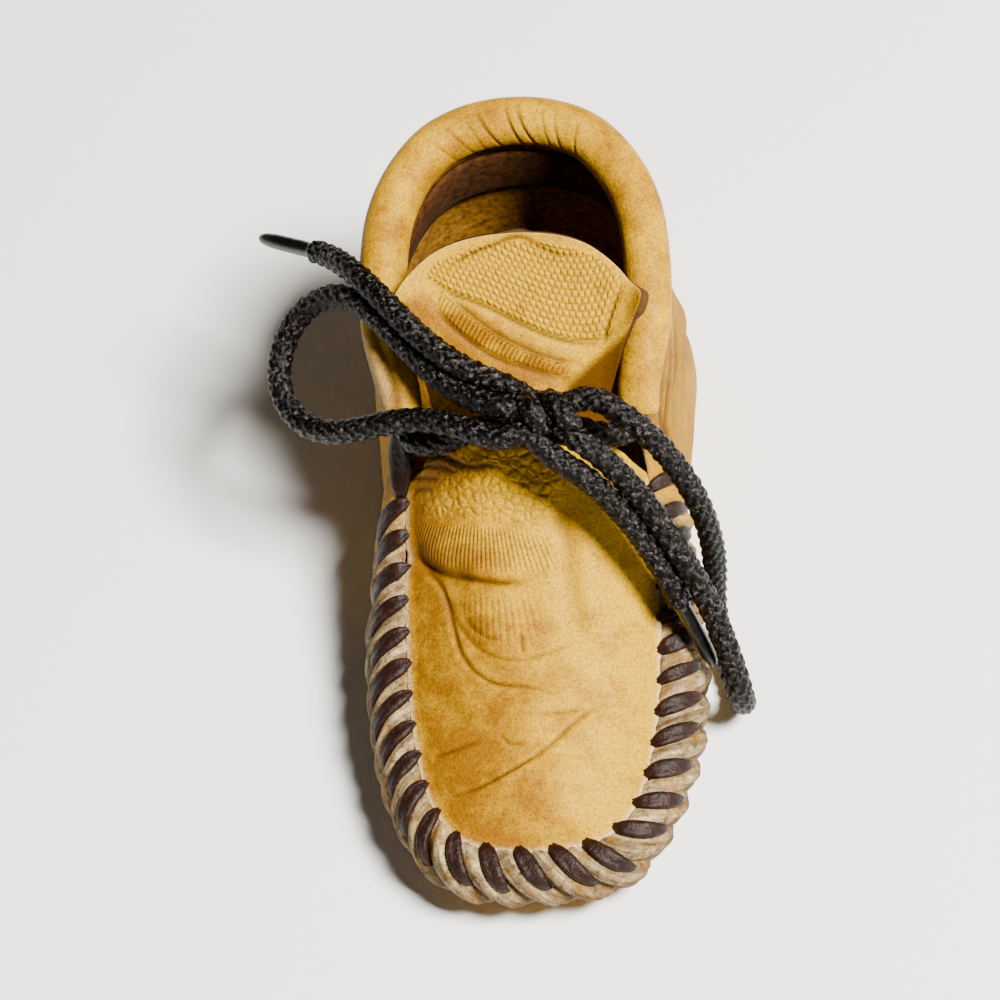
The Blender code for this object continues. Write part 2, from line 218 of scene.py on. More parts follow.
# Half the collar's length, half width of its wrinkles, and the wrinkles on its inner top: place from -1
# (left end) over 0 (heel) to 1, depth, slant
COLLAR_HALF_RUN = 66.0
WRINKLE_HALF = 0.45
COLLAR_WRINKLES = (
    (-0.27, 0.14, -0.4), (-0.19, 0.18, -0.45), (-0.13, 0.14, -0.3), (-0.066, 0.32, -0.5),
    (0.03, 0.36, -0.42), (0.085, 0.36, -0.55), (0.16, 0.16, -0.4), (0.215, 0.2, -0.5),
    (0.3, 0.2, -0.45),
)

# Slack of the hides, the stitch line below the collar (run of the wall, drop and depth), the heel seam,
# and the plug's rim at the gathers
HIDE_SLACK = 0.3
COLLAR_SLACK = 0.2
WALL_RUN = 46.0
STITCH_LINE_DROP = 3.2
STITCH_LINE_DEPTH = 0.4
HEEL_SEAM_HALF = 0.7
HEEL_SEAM_DEPTH = 0.5
RIM_LIFT = 0.35
RIM_SPREAD = 0.012

# Folds of the bottom: side, then place y, z, lean of the fold, reach along it, half width, depth
HIDE_FOLDS = (
    (1, 22.0, 37.5, 0.15, 9.0, 0.7, 0.7), (1, 20.0, 32.5, 0.35, 8.0, 0.7, 0.65),
    (1, 27.0, 31.5, 0.2, 8.0, 0.8, 0.6), (1, 15.0, 33.5, 0.5, 6.0, 0.6, 0.6),
    (1, 12.0, 29.0, 1.1, 7.0, 0.8, 0.7), (1, 9.0, 24.0, 0.9, 7.0, 0.8, 0.6),
    (1, 14.0, 25.0, 0.5, 9.0, 1.5, 1.0), (1, 5.0, 18.0, 0.8, 8.0, 1.4, 0.8),
    (1, 30.0, 26.0, 0.15, 11.0, 1.9, 0.9), (1, 38.0, 38.0, -0.35, 9.0, 1.0, 0.7),
    (1, 40.0, 20.0, -0.5, 9.0, 1.7, 0.9), (1, 50.0, 32.0, 1.2, 8.0, 1.5, 0.8),
    (1, -12.0, 12.0, 0.9, 7.0, 1.4, 0.5), (1, 22.0, 14.0, 0.1, 10.0, 1.6, 0.7),
    (-1, 23.0, 37.0, 0.2, 9.0, 0.7, 0.7), (-1, 18.0, 33.0, 0.45, 8.0, 0.7, 0.65),
    (-1, 28.0, 31.0, 0.1, 8.0, 0.8, 0.6), (-1, 12.0, 29.5, 1.0, 7.0, 0.8, 0.7),
    (-1, 8.0, 23.0, 0.8, 7.0, 0.8, 0.6), (-1, 15.0, 26.0, 0.6, 9.0, 1.6, 1.0),
    (-1, 6.0, 18.0, 0.9, 7.0, 1.4, 0.8), (-1, 31.0, 25.0, 0.1, 11.0, 1.9, 0.9),
    (-1, 39.0, 37.0, -0.3, 9.0, 1.0, 0.7), (-1, 42.0, 20.0, -0.4, 8.0, 1.6, 0.9),
    (-1, 51.0, 34.0, 1.3, 8.0, 1.5, 0.8), (-1, -10.0, 13.0, 0.8, 7.0, 1.4, 0.5),
    (-1, 20.0, 13.0, 0.15, 10.0, 1.6, 0.7),
)

# A whip stitch: shares on the plug, rises on the wall and lifts off both, from its inner to its outer end
THONG_PLUG_SHARES = np.array((0.968, 0.992))
THONG_RISES = np.array((0.985, 0.95, 0.9, 0.84, 0.77, 0.7, 0.65, 0.62))
THONG_LIFTS = np.array((-1.1, 0.0, 0.75, 1.1, 1.25, 1.25, 1.15, 0.85, 0.25, -1.0))
# The thong's end at the throat (rise, most lift, reach before and behind, width), its crinkle and section
THONG_END_RISE = 0.95
THONG_END_LIFT = 0.7
THONG_END_BEFORE = 3.5
THONG_END_BEHIND = 12.0
THONG_END_WIDTH = 1.6
THONG_CRINKLE = 0.16
THONG_SECTION = 0.8

# Lace routes, as in the part's source; the crossing is its +X half, and roots lie inside the knot
LACE_RADIUS = 1.95
AGLET_RADIUS = 1.3
BRAID_YARNS = 6.0
BRAID_PITCH = 2.6
ROUTE_SPACING = 0.3
ROUTE_SOFTENING = 2.0
KNOT_CENTRE = np.array((5.0, 0.8, 51.4))
# Rings of the knot: offset along x, lean, half depth and half height
KNOT_RINGS = ((-2.2, 1.6, 2.4, 2.9), (2.1, 1.9, 2.5, 3.1))
CROSSING_MOUTH = (18.9, 10.9, 43.4)
CROSSING = (
    (18.9, 9.3, 41.8), (18.2, 6.2, 39.6), (14.6, 4.6, 40.6), (8.0, 4.4, 44.5), (0.0, 4.4, 46.0),
)
LOOP_LEFT_ROOTS = ((2.4, 1.2, 52.4), (2.6, -1.2, 51.4))
LOOP_LEFT = (
    (-2.3, 1.7, 53.9), (-8.0, 5.6, 52.6), (-13.2, 10.2, 52.8), (-17.7, 15.2, 54.3), (-22.3, 20.3, 55.6),
    (-27.0, 25.3, 54.1), (-31.6, 28.7, 50.2), (-36.4, 29.0, 45.3), (-39.9, 25.2, 40.8), (-40.1, 18.9, 38.0),
    (-36.7, 13.0, 37.5), (-31.4, 9.1, 39.5), (-25.7, 7.0, 42.9), (-19.8, 5.6, 46.4), (-13.5, 3.7, 48.7),
    (-7.5, 0.5, 50.1), (-1.6, -3.0, 51.6),
)
LOOP_RIGHT_ROOTS = ((7.4, 2.2, 52.2), (7.0, -1.4, 51.6))
LOOP_RIGHT = (
    (11.8, 3.5, 53.3), (16.3, 1.3, 51.9), (20.3, -1.2, 49.7), (23.6, -3.6, 46.5), (26.2, -5.5, 42.4),
    (28.0, -6.8, 37.7), (29.1, -7.5, 32.7), (29.7, -7.8, 27.5), (29.9, -7.9, 22.2), (29.7, -7.9, 17.0),
    (29.3, -8.3, 11.7), (29.4, -10.0, 6.7), (30.3, -13.6, 3.2), (31.6, -18.4, 2.1), (32.8, -23.1, 3.6),
    (33.4, -26.6, 7.4), (33.3, -27.9, 12.5), (32.5, -26.8, 17.5), (31.2, -24.0, 21.8), (29.6, -20.7, 25.6),
    (27.6, -17.7, 29.5), (25.3, -14.9, 33.3), (22.8, -12.1, 37.0), (20.1, -9.4, 40.7), (17.2, -7.1, 44.4),
    (14.0, -5.3, 48.1), (10.3, -3.9, 51.6),
)
END_LEFT_ROOT = (4.0, 3.0, 51.8)
END_LEFT = (
    (0.4, 5.3, 53.2), (-6.9, 8.3, 55.1), (-13.6, 13.1, 56.9), (-19.1, 18.9, 58.7), (-24.9, 26.7, 58.0),
    (-32.4, 36.8, 52.0),
)
AGLET_LEFT = ((-33.0, 37.3, 51.7), (-43.4, 44.6, 47.2))
END_RIGHT_ROOT = (3.0, -2.2, 51.7)
END_RIGHT = (
    (5.3, -5.0, 49.9), (10.2, -7.0, 46.7), (16.6, -10.6, 39.6), (21.1, -14.5, 32.7), (24.2, -18.5, 27.0),
)
AGLET_RIGHT = ((24.4, -18.9, 26.4), (29.2, -24.9, 16.6))

# Light: place, size, power and colour of each soft box, and the air
KEY_LIGHT = ((0.56, -0.28, 1.0), 0.3, 62.0, (1.0, 0.95, 0.84))
FILL_LIGHT = ((0.2, -1.1, 0.5), 0.8, 0.4, (1.0, 0.98, 0.95))
LIGHT_AIM = (0.0, 0.0, 0.03)
AIR_COLOUR = (1.0, 0.9, 0.8, 1.0)
AIR_STRENGTH = 0.055
FLOOR_HALF = 4000.0

# Camera: place, aim, image right, lens and sensor, for a square frame
EYE = (0.0479, -0.3408, 0.5165)
AIM = (-0.0050, 0.0041, 0.025)
IMAGE_RIGHT = (0.9954, 0.0020, -0.0946)
LENS = 131.7
SENSOR = 36.0


def linear(code):
    """Linear RGBA of an sRGB hex code."""
    parts = [int(code[i:i + 2], 16) / 255.0 for i in (1, 3, 5)]
    return tuple(c / 12.92 if c <= 0.04045 else ((c + 0.055) / 1.055) ** 2.4 for c in parts) + (1.0,)


def through(knots, rows, at):
    """Cubic curve through rows at knots, read at the values at; its slopes are weighted differences."""
    steps = np.diff(knots)[:, None]
    slopes = np.diff(rows, axis=0) / steps
    inner = (slopes[:-1] * steps[1:] + slopes[1:] * steps[:-1]) / (steps[1:] + steps[:-1])
    tangents = np.vstack([slopes[:1], inner, slopes[-1:]])
    span = np.clip(np.searchsorted(knots, at, side="right") - 1, 0, len(knots) - 2)
    width = steps[span]
    t = (at - knots[span])[:, None] / width
    start = rows[span] * (1 + 2 * t) * (1 - t) ** 2 + tangents[span] * width * t * (1 - t) ** 2
    return start + rows[span + 1] * t * t * (3 - 2 * t) + tangents[span + 1] * width * t * t * (t - 1)


def distance_along(points):
    """Distance along a row of points, from 0."""
    return np.concatenate([[0.0], np.cumsum(np.linalg.norm(np.diff(points, axis=0), axis=1))])


def ease(value, start, end):
    """0 before start, 1 after end and 3t^2 - 2t^3 between."""
    t = np.clip((value - start) / (end - start), 0.0, 1.0)
    return t * t * (3.0 - 2.0 * t)


def bell(value, half):
    """Gaussian exp(-(value / half)^2)."""
    return np.exp(-((value / half) ** 2))


def unit(vectors):
    """Vectors divided by their lengths."""
    return vectors / np.maximum(np.linalg.norm(vectors, axis=-1, keepdims=True), 1e-9)


def ripple(a, b, seed):
    """Smooth irregular value from -1 to 1: a sum of five sine waves of seeded direction and phase."""
    waves = np.random.default_rng(seed).uniform(-1.0, 1.0, (5, 3))
    total = sum(np.sin(a * (1.0 + u) + b * (1.0 + v) + 9.0 * w) for u, v, w in waves)
    return total / 5.0


def last_at(station):
    """Every column of LAST at outline distances, mirrored past toe and heel so that both are round."""
    rows = np.vstack([LAST[1] * LAST_MIRROR, LAST, LAST[-2] * LAST_MIRROR])
    knots = distance_along(rows[:, :2])
    return through(knots - knots[1], rows, station)


OUTLINE = distance_along(LAST[:, :2])
SEAM_FINE = np.linspace(0.0, OUTLINE[THROAT_ROW], 400)
SEAM_ALONG = distance_along(last_at(SEAM_FINE)[:, 2:5])


def seam_station(share):
    """Outline distance at a share of the plug seam's length, 0 at the toe and 1 at the throat."""
    return np.interp(share * SEAM_ALONG[-1], SEAM_ALONG, SEAM_FINE)


def seam_share(station):
    """Share of the plug seam at an outline distance; it goes on past 1 behind the throat."""
    share = np.interp(station, SEAM_FINE, SEAM_ALONG / SEAM_ALONG[-1])
    return share + np.maximum(station - OUTLINE[THROAT_ROW], 0.0) / SEAM_ALONG[-1]


def outline_frame(station):
    """Columns of the last, outward plan normals and the height of the sole's edge at outline distances."""
    table = last_at(station)
    along = last_at(station + SLOPE_STEP)[:, :2] - last_at(station - SLOPE_STEP)[:, :2]
    normal = unit(np.stack([along[:, 1], -along[:, 0]], axis=1))
    y = table[:, 1] - EDGE_IN * normal[:, 1]
    spring = TOE_SPRING * (np.clip(TOE_SPRING_START - y, 0.0, None) / (HALF_LENGTH + TOE_SPRING_START)) ** 2
    arch = ARCH_LIFT * np.clip(1.0 - ((y - ARCH_CENTRE) / ARCH_REACH) ** 2, 0.0, None) ** 2
    return table, normal, spring + arch


def wall_at(station, rise):
    """Wall of the bottom on +X: a cubic Bezier in reach and height, from the sole's edge to the seam."""
    s, t = station.ravel(), rise.ravel()
    table, normal, lift = outline_frame(s)
    out, top, roll = table[:, 0:2], table[:, 2:5], table[:, 5:7]
    top_out = ((top[:, :2] - out) * normal).sum(axis=1)
    third = top_out + roll[:, 0]
    second = (EDGE_IN - top_out) / 3.0 - third
    w0, w1, w2, w3 = (1 - t) ** 3, 3 * t * (1 - t) ** 2, 3 * t * t * (1 - t), t**3
    reach = w1 * second + w2 * third + w3 * top_out - w0 * EDGE_IN
    height = (w0 + w1) * lift + w2 * (top[:, 2] + roll[:, 1]) + w3 * top[:, 2]
    side = top[:, :2] - out - top_out[:, None] * normal
    plan = out + reach[:, None] * normal + side * (t * t)[:, None]
    return np.column_stack([plan, height]).reshape(station.shape + (3,))


def sole_at(station, share):
    """Sole on +X: straight lines from the spine to the sole's edge, lifted only past FLAT_SHARE."""
    s, r = station.ravel(), share.ravel()
    table, normal, lift = outline_frame(s)
    edge = table[:, :2] - EDGE_IN * normal
    spine = np.clip(edge[:, 1], -SPINE_REACH, SPINE_REACH)
    rise = np.maximum(r - FLAT_SHARE, 0.0) / (1.0 - FLAT_SHARE)
    points = np.stack([edge[:, 0] * r, spine + (edge[:, 1] - spine) * r, lift * rise], axis=1)
    return points.reshape(station.shape + (3,))


def slant_at(share):
    """Lead of a stitch's outer end over its inner end, more on +X than on -X."""
    return STITCH_SLANT * (1.05 + 0.4 * np.clip(share, -1.0, 1.0))


def stitch_phase(share, rise):
    """Count of stitches from the toe at a seam share, lagging down the wall as the stitches slant."""
    return STITCHES_PER_SIDE * (share - slant_at(share) * (1.0 - np.clip((rise - 0.5) / 0.5, 0.0, 1.0)))


def pucker(share, rise, height):
    """Gathers at the seam: height * (2 |cos|^0.7 - 1), with a valley at each slanted stitch.

    Finer pleats, 0.4 |sin|^0.6 - 0.3 of the height, lie between the stitches.
    """
    phase = stitch_phase(share, rise)
    wave = 2.0 * np.abs(np.cos(math.pi * phase)) ** 0.7 - 1.0
    fine = np.abs(np.sin(3.0 * math.pi * phase + 2.5 * rise + np.sin(5.0 * phase))) ** 0.6
    wave = wave + 0.4 * fine - 0.3
    band = ease(rise, 0.2, 0.58) * (1.0 - 0.55 * ease(rise, 0.9, 1.0))
    return height * wave * band * (1.0 - ease(np.abs(share), 0.96, 1.05))


def two_sides(grid):
    """A grid or row of points from toe to heel on +X, carried back from heel to toe on -X."""
    return np.concatenate([grid, grid[-2:0:-1] * MIRROR])


def round_angles(count):
    """Even angles round a circle from 0."""
    return np.linspace(0.0, 2.0 * math.pi, count + 1)[:-1]


def ring_directions(across, other, angles):
    """Directions round each point of a path: across * cos + other * sin of the angles."""
    cosine, sine = np.cos(angles)[None, :, None], np.sin(angles)[None, :, None]
    return across[:, None, :] * cosine + other[:, None, :] * sine


def grid_normals(grid, closed):
    """Unit normals of a grid from its central differences; closed joins its first and last columns."""
    if closed:
        along = np.roll(grid, -1, axis=0) - np.roll(grid, 1, axis=0)
    else:
        along = np.gradient(grid, axis=0)
    return unit(np.cross(along, np.gradient(grid, axis=1)))


def grid_faces(columns, rows, closed, closed_rows=False):
    """Quads of a grid, as indices of its points."""
    i, j = np.meshgrid(np.arange(columns if closed else columns - 1),
                       np.arange(rows if closed_rows else rows - 1), indexing="ij")
    after, above = (i + 1) % columns, (j + 1) % rows
    corners = (i * rows + j, after * rows + j, after * rows + above, i * rows + above)
    return np.stack([c.ravel() for c in corners], axis=1)


def make_piece(name, points, faces, materials, values=None):
    """Mesh of points in millimetres: points within a micrometre are welded and folded faces dropped."""
    points = points.reshape(-1, 3)
    keys = np.round(points * 1000.0).astype(np.int64)
    _, first, where = np.unique(keys, axis=0, return_index=True, return_inverse=True)
    faces = where.reshape(-1)[faces]
    sides_apart = (faces != np.roll(faces, 1, axis=1)).all(axis=1)
    whole = sides_apart & (faces[:, 0] != faces[:, 2]) & (faces[:, 1] != faces[:, 3])
    folded = [tuple(dict.fromkeys(face)) for face in faces[~whole].tolist()]
    corners = faces[whole].tolist() + [face for face in folded if len(face) == 3]
    mesh = bpy.data.meshes.new(name)
    mesh.from_pydata(points[first] * MM, [], corners)
    for label, value in (values or {}).items():
        kind, field, width = ("FLOAT", "value", 1) if value.ndim < 3 else ("FLOAT_VECTOR", "vector", 3)
        layer = mesh.attributes.new(label, kind, "POINT")
        layer.data.foreach_set(field, value.reshape(-1, width)[first].ravel().astype(np.float32))
    mesh.shade_smooth()
    mesh.update()
    for material in materials:
        mesh.materials.append(material)
    piece = bpy.data.objects.new(name, mesh)
    bpy.context.scene.collection.objects.link(piece)
    return piece


def give_thickness(piece, thickness):
    """Grows a hide inwards; its inner side takes the second material and its cut edge the third."""
    wall = piece.modifiers.new("hide thickness", "SOLIDIFY")
    wall.thickness = thickness
    wall.offset = -1.0
    wall.use_quality_normals = True
    wall.material_offset = 1
    wall.material_offset_rim = 2


def place_piece(piece, slot, *nodes):
    """Lets a piece ride on the body and hides the solids that it stands for; the slot argument is not used.
    """
    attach(piece, BODY)
    if nodes:
        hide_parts(*nodes)


def bottom_grid():
    """Full grid of the bottom's outer face, with its signed seam share and rise (below 0 on the sole)."""
    front = seam_station(np.linspace(0.0, 1.0, STITCHES_PER_SIDE * COLUMNS_PER_STITCH + 1))
    rear = np.linspace(OUTLINE[THROAT_ROW], OUTLINE[-1], REAR_COLUMNS + 1)[1:]
    station = np.concatenate([front, rear])
    sole_shares = np.linspace(0.0, 1.0, SOLE_ROWS)
    rises = np.linspace(0.0, 1.0, WALL_ROWS + 1)[1:]
    sole = sole_at(*np.meshgrid(station, sole_shares, indexing="ij"))
    wall = wall_at(*np.meshgrid(station, rises, indexing="ij"))
    grid = two_sides(np.concatenate([sole, wall], axis=1))
    share = seam_share(station)
    signed = np.concatenate([share, -share[-2:0:-1]])
    rise = np.concatenate([sole_shares - 1.0, rises])
    size = grid.shape[:2]
    return grid, np.broadcast_to(signed[:, None], size), np.broadcast_to(rise[None, :], size)


def hide_folds(points):
    """Depth of the bottom's folds, and the painted shade in them, darker in the thin ones.

    Each is a Gaussian valley along a short, slightly bent line, with a low ridge beside it.
    """
    depth = np.zeros(points.shape[:2])
    dark = np.zeros(points.shape[:2])
    for side, y, z, lean, reach, half, deep in HIDE_FOLDS:
        along_y, along_z = math.cos(lean), math.sin(lean)
        dy, dz = points[..., 1] - y, points[..., 2] - z
        run = dy * along_y + dz * along_z
        off = dz * along_y - dy * along_z + 0.04 * dy * dy / reach
        section = bell(off, half) - 0.45 * bell(off - 2.0 * half, 1.3 * half)
        fold = section * bell(run, reach) * (points[..., 0] * side > 2.0)
        depth += deep * fold
        # Painted shade in the folds, stronger in the thin ones
        dark += np.clip(fold, 0.0, 1.0) * (0.9 if half < 1.0 else 0.25)
    return depth, dark


def crease_marks(points, creases):
    """Depth of creases in plan and the painted shade along them: Gaussian valleys along curves that thin out
    at both ends.
    """
    plan = points[..., :2]
    depth = np.zeros(points.shape[:-1])
    dark = np.zeros(points.shape[:-1])
    for deep, half, darkness, rows in creases:
        rows = np.array(rows)
        knots = distance_along(rows)
        line = through(knots, rows, np.linspace(0.0, knots[-1], 6 * len(rows)))
        near = np.full(points.shape[:-1], 1e9)
        place = np.zeros(points.shape[:-1])
        for i, (start, end) in enumerate(zip(line, line[1:])):
            step = end - start
            t = np.clip(((plan - start) @ step) / (step @ step), 0.0, 1.0)
            gap = np.linalg.norm(plan - start - t[..., None] * step, axis=-1)
            closer = gap < near
            near = np.where(closer, gap, near)
            place = np.where(closer, (i + t) / (len(line) - 1), place)
        taper = ease(place, -0.02, 0.2) * (1.0 - ease(place, 0.75, 1.02))
        ridge = 0.2 * bell(near - 2.1 * half, 1.3 * half) * (half < 1.0)
        valley = bell(near, half) - ridge
        depth += deep * valley * taper
        # Painted shade along the crease
        dark = np.maximum(dark, darkness * taper * bell(near, 0.75 * half))
    return depth, dark


def plug_edge():
    """Edge of the plug and tongue on +X: the seam moved in by its gap, then the tongue's free edge."""
    front = seam_edge(np.linspace(0.0, 1.0, PLUG_SEAM_COLUMNS + 1))
    rows = np.vstack([front[-1:], TONGUE])
    rows = np.vstack([rows, rows[-2] * MIRROR])
    knots = distance_along(rows)
    free = through(knots, rows, np.linspace(0.0, knots[-2], TONGUE_COLUMNS + 1)[1:])
    return np.vstack([front, free])


def seam_edge(share):
    """Plug edge along the seam: the upper edge of the wall moved in by the seam's gap."""
    station = seam_station(share)
    table, normal, _ = outline_frame(station)
    edge = table[:, 2:5].copy()
    edge[:, :2] -= SEAM_GAP * normal
    return edge


def crown_at(y):
    """Crown line of the plug at y, which is kept between its ends: place y and height z."""
    spine = np.clip(y, CROWN[0, 0], CROWN[-1, 0])
    return spine, through(CROWN[:, 0], CROWN, spine.ravel())[:, 1].reshape(spine.shape)


def plug_at(edge, share):
    """Plug face: from the crown line to the edge, z falling with share^DOME_POWER."""
    spine_y, spine_z = crown_at(edge[..., 1])
    y = spine_y + (edge[..., 1] - spine_y) * share
    z = spine_z + (edge[..., 2] - spine_z) * share**DOME_POWER
    return np.stack([edge[..., 0] * share, y, z], axis=-1)


def plug_normals(grid, edge, shares):
    """Normals of the plug's grid, near the crown line that line's own, so that its ends stay smooth."""
    spine, _ = crown_at(edge[:, 1])
    step = np.clip(spine, CROWN[0, 0] + 0.5, CROWN[-1, 0] - 0.5)
    slope = crown_at(step + 0.5)[1] - crown_at(step - 0.5)[1]
    crown = unit(np.stack([np.zeros_like(slope), -slope, np.ones_like(slope)], axis=-1))
    weight = ease(shares, 0.02, 0.2)[None, :, None]
    return unit(crown[:, None, :] * (1.0 - weight) - grid_normals(grid, True) * weight)


def border_at(rows, x):
    """Height y of a border given as rows x, y, along a smooth curve that ends level."""
    rows = np.array(rows)
    return through(rows[:, 0], rows, np.clip(x, rows[0, 0], rows[-1, 0]).ravel())[:, 1].reshape(x.shape)


def between(points, low, high, soft):
    """1 between two borders given as rows x, y.

    It eases to 0 over soft millimetres at the borders and over twice that at their ends.
    """
    x, y = points[..., 0], points[..., 1]
    above = ease(y - border_at(low, x), 0.0, soft)
    under = ease(border_at(high, x) - y, 0.0, soft)
    start, end = max(low[0][0], high[0][0]), min(low[-1][0], high[-1][0])
    return above * under * ease(x, start, start + 2.0 * soft) * (1.0 - ease(x, end - 2.0 * soft, end))


def tool_marks(points):
    """Tooling as two phases and a depth: beads and a ribbed band on the tongue, ribs on the vamp.

    The surface is raised by depth * |sin(first) sin(second)|^0.9: a bead, or a rib where the second phase is
    90 degrees.
    """
    x, y = points[..., 0], points[..., 1]
    panel = between(points, PANEL_LOW, PANEL_HIGH, 0.4)
    panel = panel * ease(PANEL_END[0] + CORNER_LEAN * (y - PANEL_END[1]) - x, 0.0, 0.5)
    band = between(points, BAND_LOW, BAND_HIGH, 0.4)
    ribs = between(points, RIBS_LOW, RIBS_HIGH, 1.6)
    lower_ribs = between(points, LOWER_RIBS_LOW, LOWER_RIBS_HIGH, 2.5)
    row = (y - border_at(PANEL_LOW, x)) * math.pi / BEAD_ROW
    angle = np.arctan2(x - FAN_CENTRE[0], FAN_CENTRE[1] - y)
    first = np.where(band > 0.0, (0.8 * x - 0.6 * y) * math.pi / BAND_RIB, angle * FAN_RIBS)
    first = np.where(panel > 0.0, x * math.pi / BEAD_SPACING, first)
    second = np.where(panel > 0.0, row, 0.5 * math.pi)
    depth = PANEL_DEPTH * panel + BAND_DEPTH * band + RIBS_DEPTH * ribs + LOWER_RIBS_DEPTH * lower_ribs
    return np.stack([first, second, depth], axis=-1)


def pebbled(points):
    """1 on the pebbled grain between the lace and the fan of ribs, 0 elsewhere."""
    x, y = points[..., 0], points[..., 1]
    above = ease(y - border_at(RIBS_HIGH, x), -0.6, 1.2)
    creased = 1.0 - 0.8 * ease(y - 0.6 * x, 8.0, 13.0)
    return above * creased * (1.0 - ease(y, 5.5, 7.0)) * (1.0 - ease(x - 0.6 * y, 6.0, 9.0))


def plug_tone_and_light(points):
    """Paleness of the plug: deep ochre on the left and at the toe, paler to the right and on the tongue."""
    x, y = points[..., 0], points[..., 1]
    # The rise from left to right is partly the hide's own tone, partly painted light where the right side
    # faces the key
    vamp = 0.05 + 0.9 * ease(x + 0.1 * (y + 20.0), -10.0, 10.0) + 0.2 * ripple(x * 0.2, y * 0.16, 31)
    vamp = vamp + 0.55 * bell(x + 7.0, 7.0) * bell(y + 5.0, 7.0)
    vamp = vamp + 0.25 * bell(x + 9.0, 7.0) * bell(y + 49.0, 7.0)
    tongue = 0.9 * ease(y - border_at(PANEL_LOW, x), -5.0, -0.5) + 0.15 * ease(x, -12.0, 12.0)
    share = ease(y, 4.0, 9.0)
    return np.clip(vamp * (1.0 - share) + tongue * share, 0.0, 1.0)


def collar_path(seat):
    """Middle line of the collar roll, from its right front end round the heel, and its radius."""
    station = np.linspace(OUTLINE[THROAT_ROW], OUTLINE[-1], 301)
    station = station[station >= OUTLINE[THROAT_ROW] + 2.0 * (OUTLINE[-1] - OUTLINE[THROAT_ROW]) / 15.0]
    seam = last_at(station)[:, 2:5]
    path = np.vstack([seam, seam[-2::-1] * MIRROR])
    along = unit(np.gradient(path, axis=0))
    up = unit(UP - along * along[:, 2:])
    share = np.abs(np.linspace(-1.0, 1.0, len(path)))
    radius = COLLAR_RADIUS + (COLLAR_END_RADIUS - COLLAR_RADIUS) * share**4
    return path + up * (radius + SEAM_GAP - seat)[:, None], radius


def smooth_route(rows, spacing, soften):
    """Even points about spacing apart on the curve through rows, softened by a Gaussian of that reach."""
    rows = np.array(rows)
    knots = distance_along(rows)
    fine = through(knots, rows, np.linspace(0.0, knots[-1], 1200))
    along = distance_along(fine)
    count = int(round(along[-1] / spacing)) + 1
    at = np.linspace(0.0, along[-1], count)
    path = np.stack([np.interp(at, along, fine[:, k]) for k in range(3)], axis=1)
    reach = min(int(3.0 * soften / spacing), count - 2)
    weights = np.exp(-0.5 * (np.arange(-reach, reach + 1) * spacing / soften) ** 2)
    head, tail = 2.0 * path[0] - path[reach:0:-1], 2.0 * path[-1] - path[-2:-reach - 2:-1]
    full = np.vstack([head, path, tail])
    weights = weights / weights.sum()
    return np.stack([np.convolve(full[:, k], weights, mode="valid") for k in range(3)], axis=1)


def carried_frames(path, closed):
    """Tangents and two cross directions along a path without twist; a ring shares out what is left."""
    if closed:
        tangent = unit(np.roll(path, -1, axis=0) - np.roll(path, 1, axis=0))
    else:
        tangent = unit(np.gradient(path, axis=0))
    start = np.cross(tangent[0], UP)
    if np.linalg.norm(start) < 0.2:
        start = np.cross(tangent[0], (1.0, 0.0, 0.0))
    across = [start / np.linalg.norm(start)]
    for direction in tangent[1:]:
        carried = across[-1] - direction * (across[-1] @ direction)
        across.append(carried / np.linalg.norm(carried))
    across = np.array(across)
    other = np.cross(tangent, across)
    if closed:
        back = across[-1] - tangent[0] * (across[-1] @ tangent[0])
        twist = math.atan2(back @ other[0], back @ across[0])
        turn = -twist * np.linspace(0.0, 1.0, len(path))[:, None]
        turned = across * np.cos(turn) + other * np.sin(turn)
        other = other * np.cos(turn) - across * np.sin(turn)
        across = turned
    return tangent, across, other


def braided_tube(path, radius, closed=False):
    """Round braid: two families of yarns wind both ways, r = R (0.76 + 0.27 top) for the upper yarn.

    A yarn stands |cos| of half its phase high, plus or minus 0.6 cos cos where it goes over or under.
    """
    along = distance_along(path)
    _, across, other = carried_frames(path, closed)
    theta = round_angles(BRAID_SIDES)
    turns = 2.0 * math.pi / BRAID_PITCH
    if closed:
        length = along[-1] + np.linalg.norm(path[0] - path[-1])
        turns = 2.0 * math.pi * 2.0 * round(length / (2.0 * BRAID_PITCH)) / length
    first = np.cos((BRAID_YARNS * theta[None, :] + turns * along[:, None]) / 2.0)
    second = np.cos((BRAID_YARNS * theta[None, :] - turns * along[:, None]) / 2.0)
    weave = first * second
    top = np.maximum(np.abs(first) + 0.6 * weave, np.abs(second) - 0.6 * weave)
    size = radius * (0.76 + 0.27 * np.clip(top / 1.3, 0.0, 1.2))
    return path[:, None, :] + ring_directions(across, other, theta) * size[..., None]


def close_ends(grid):
    """Adds a middle point as one more ring at both ends of a tube, so that welding closes them."""
    first = np.broadcast_to(grid[:1].mean(axis=1, keepdims=True), grid[:1].shape)
    last = np.broadcast_to(grid[-1:].mean(axis=1, keepdims=True), grid[-1:].shape)
    return np.concatenate([first, grid, last])


def tube_faces(rings, sides, closed):
    """Quads of a tube whose rings follow one another, facing outwards."""
    return grid_faces(rings, sides, closed, True)[:, ::-1]


def add_node(tree, kind, values=None, links=None, **settings):
    """Adds one shader node with its settings, its input values and links from (node, output) pairs."""
    made = tree.nodes.new("ShaderNode" + kind)
    for name, value in settings.items():
        setattr(made, name, value)
    for socket, value in (values or {}).items():
        made.inputs[socket].default_value = value
    for socket, (source, output) in (links or {}).items():
        tree.links.new(source.outputs[output], made.inputs[socket])
    return made


def new_surface(name, **constants):
    """Material with the constant sockets of its Principled shader set, and its Object coordinates."""
    material = bpy.data.materials.new(name)
    material.use_nodes = True
    tree = material.node_tree
    shader = tree.nodes["Principled BSDF"]
    for label, value in constants.items():
        shader.inputs[label.replace("_", " ")].default_value = value
    return material, tree, shader, (add_node(tree, "TexCoord"), "Object")


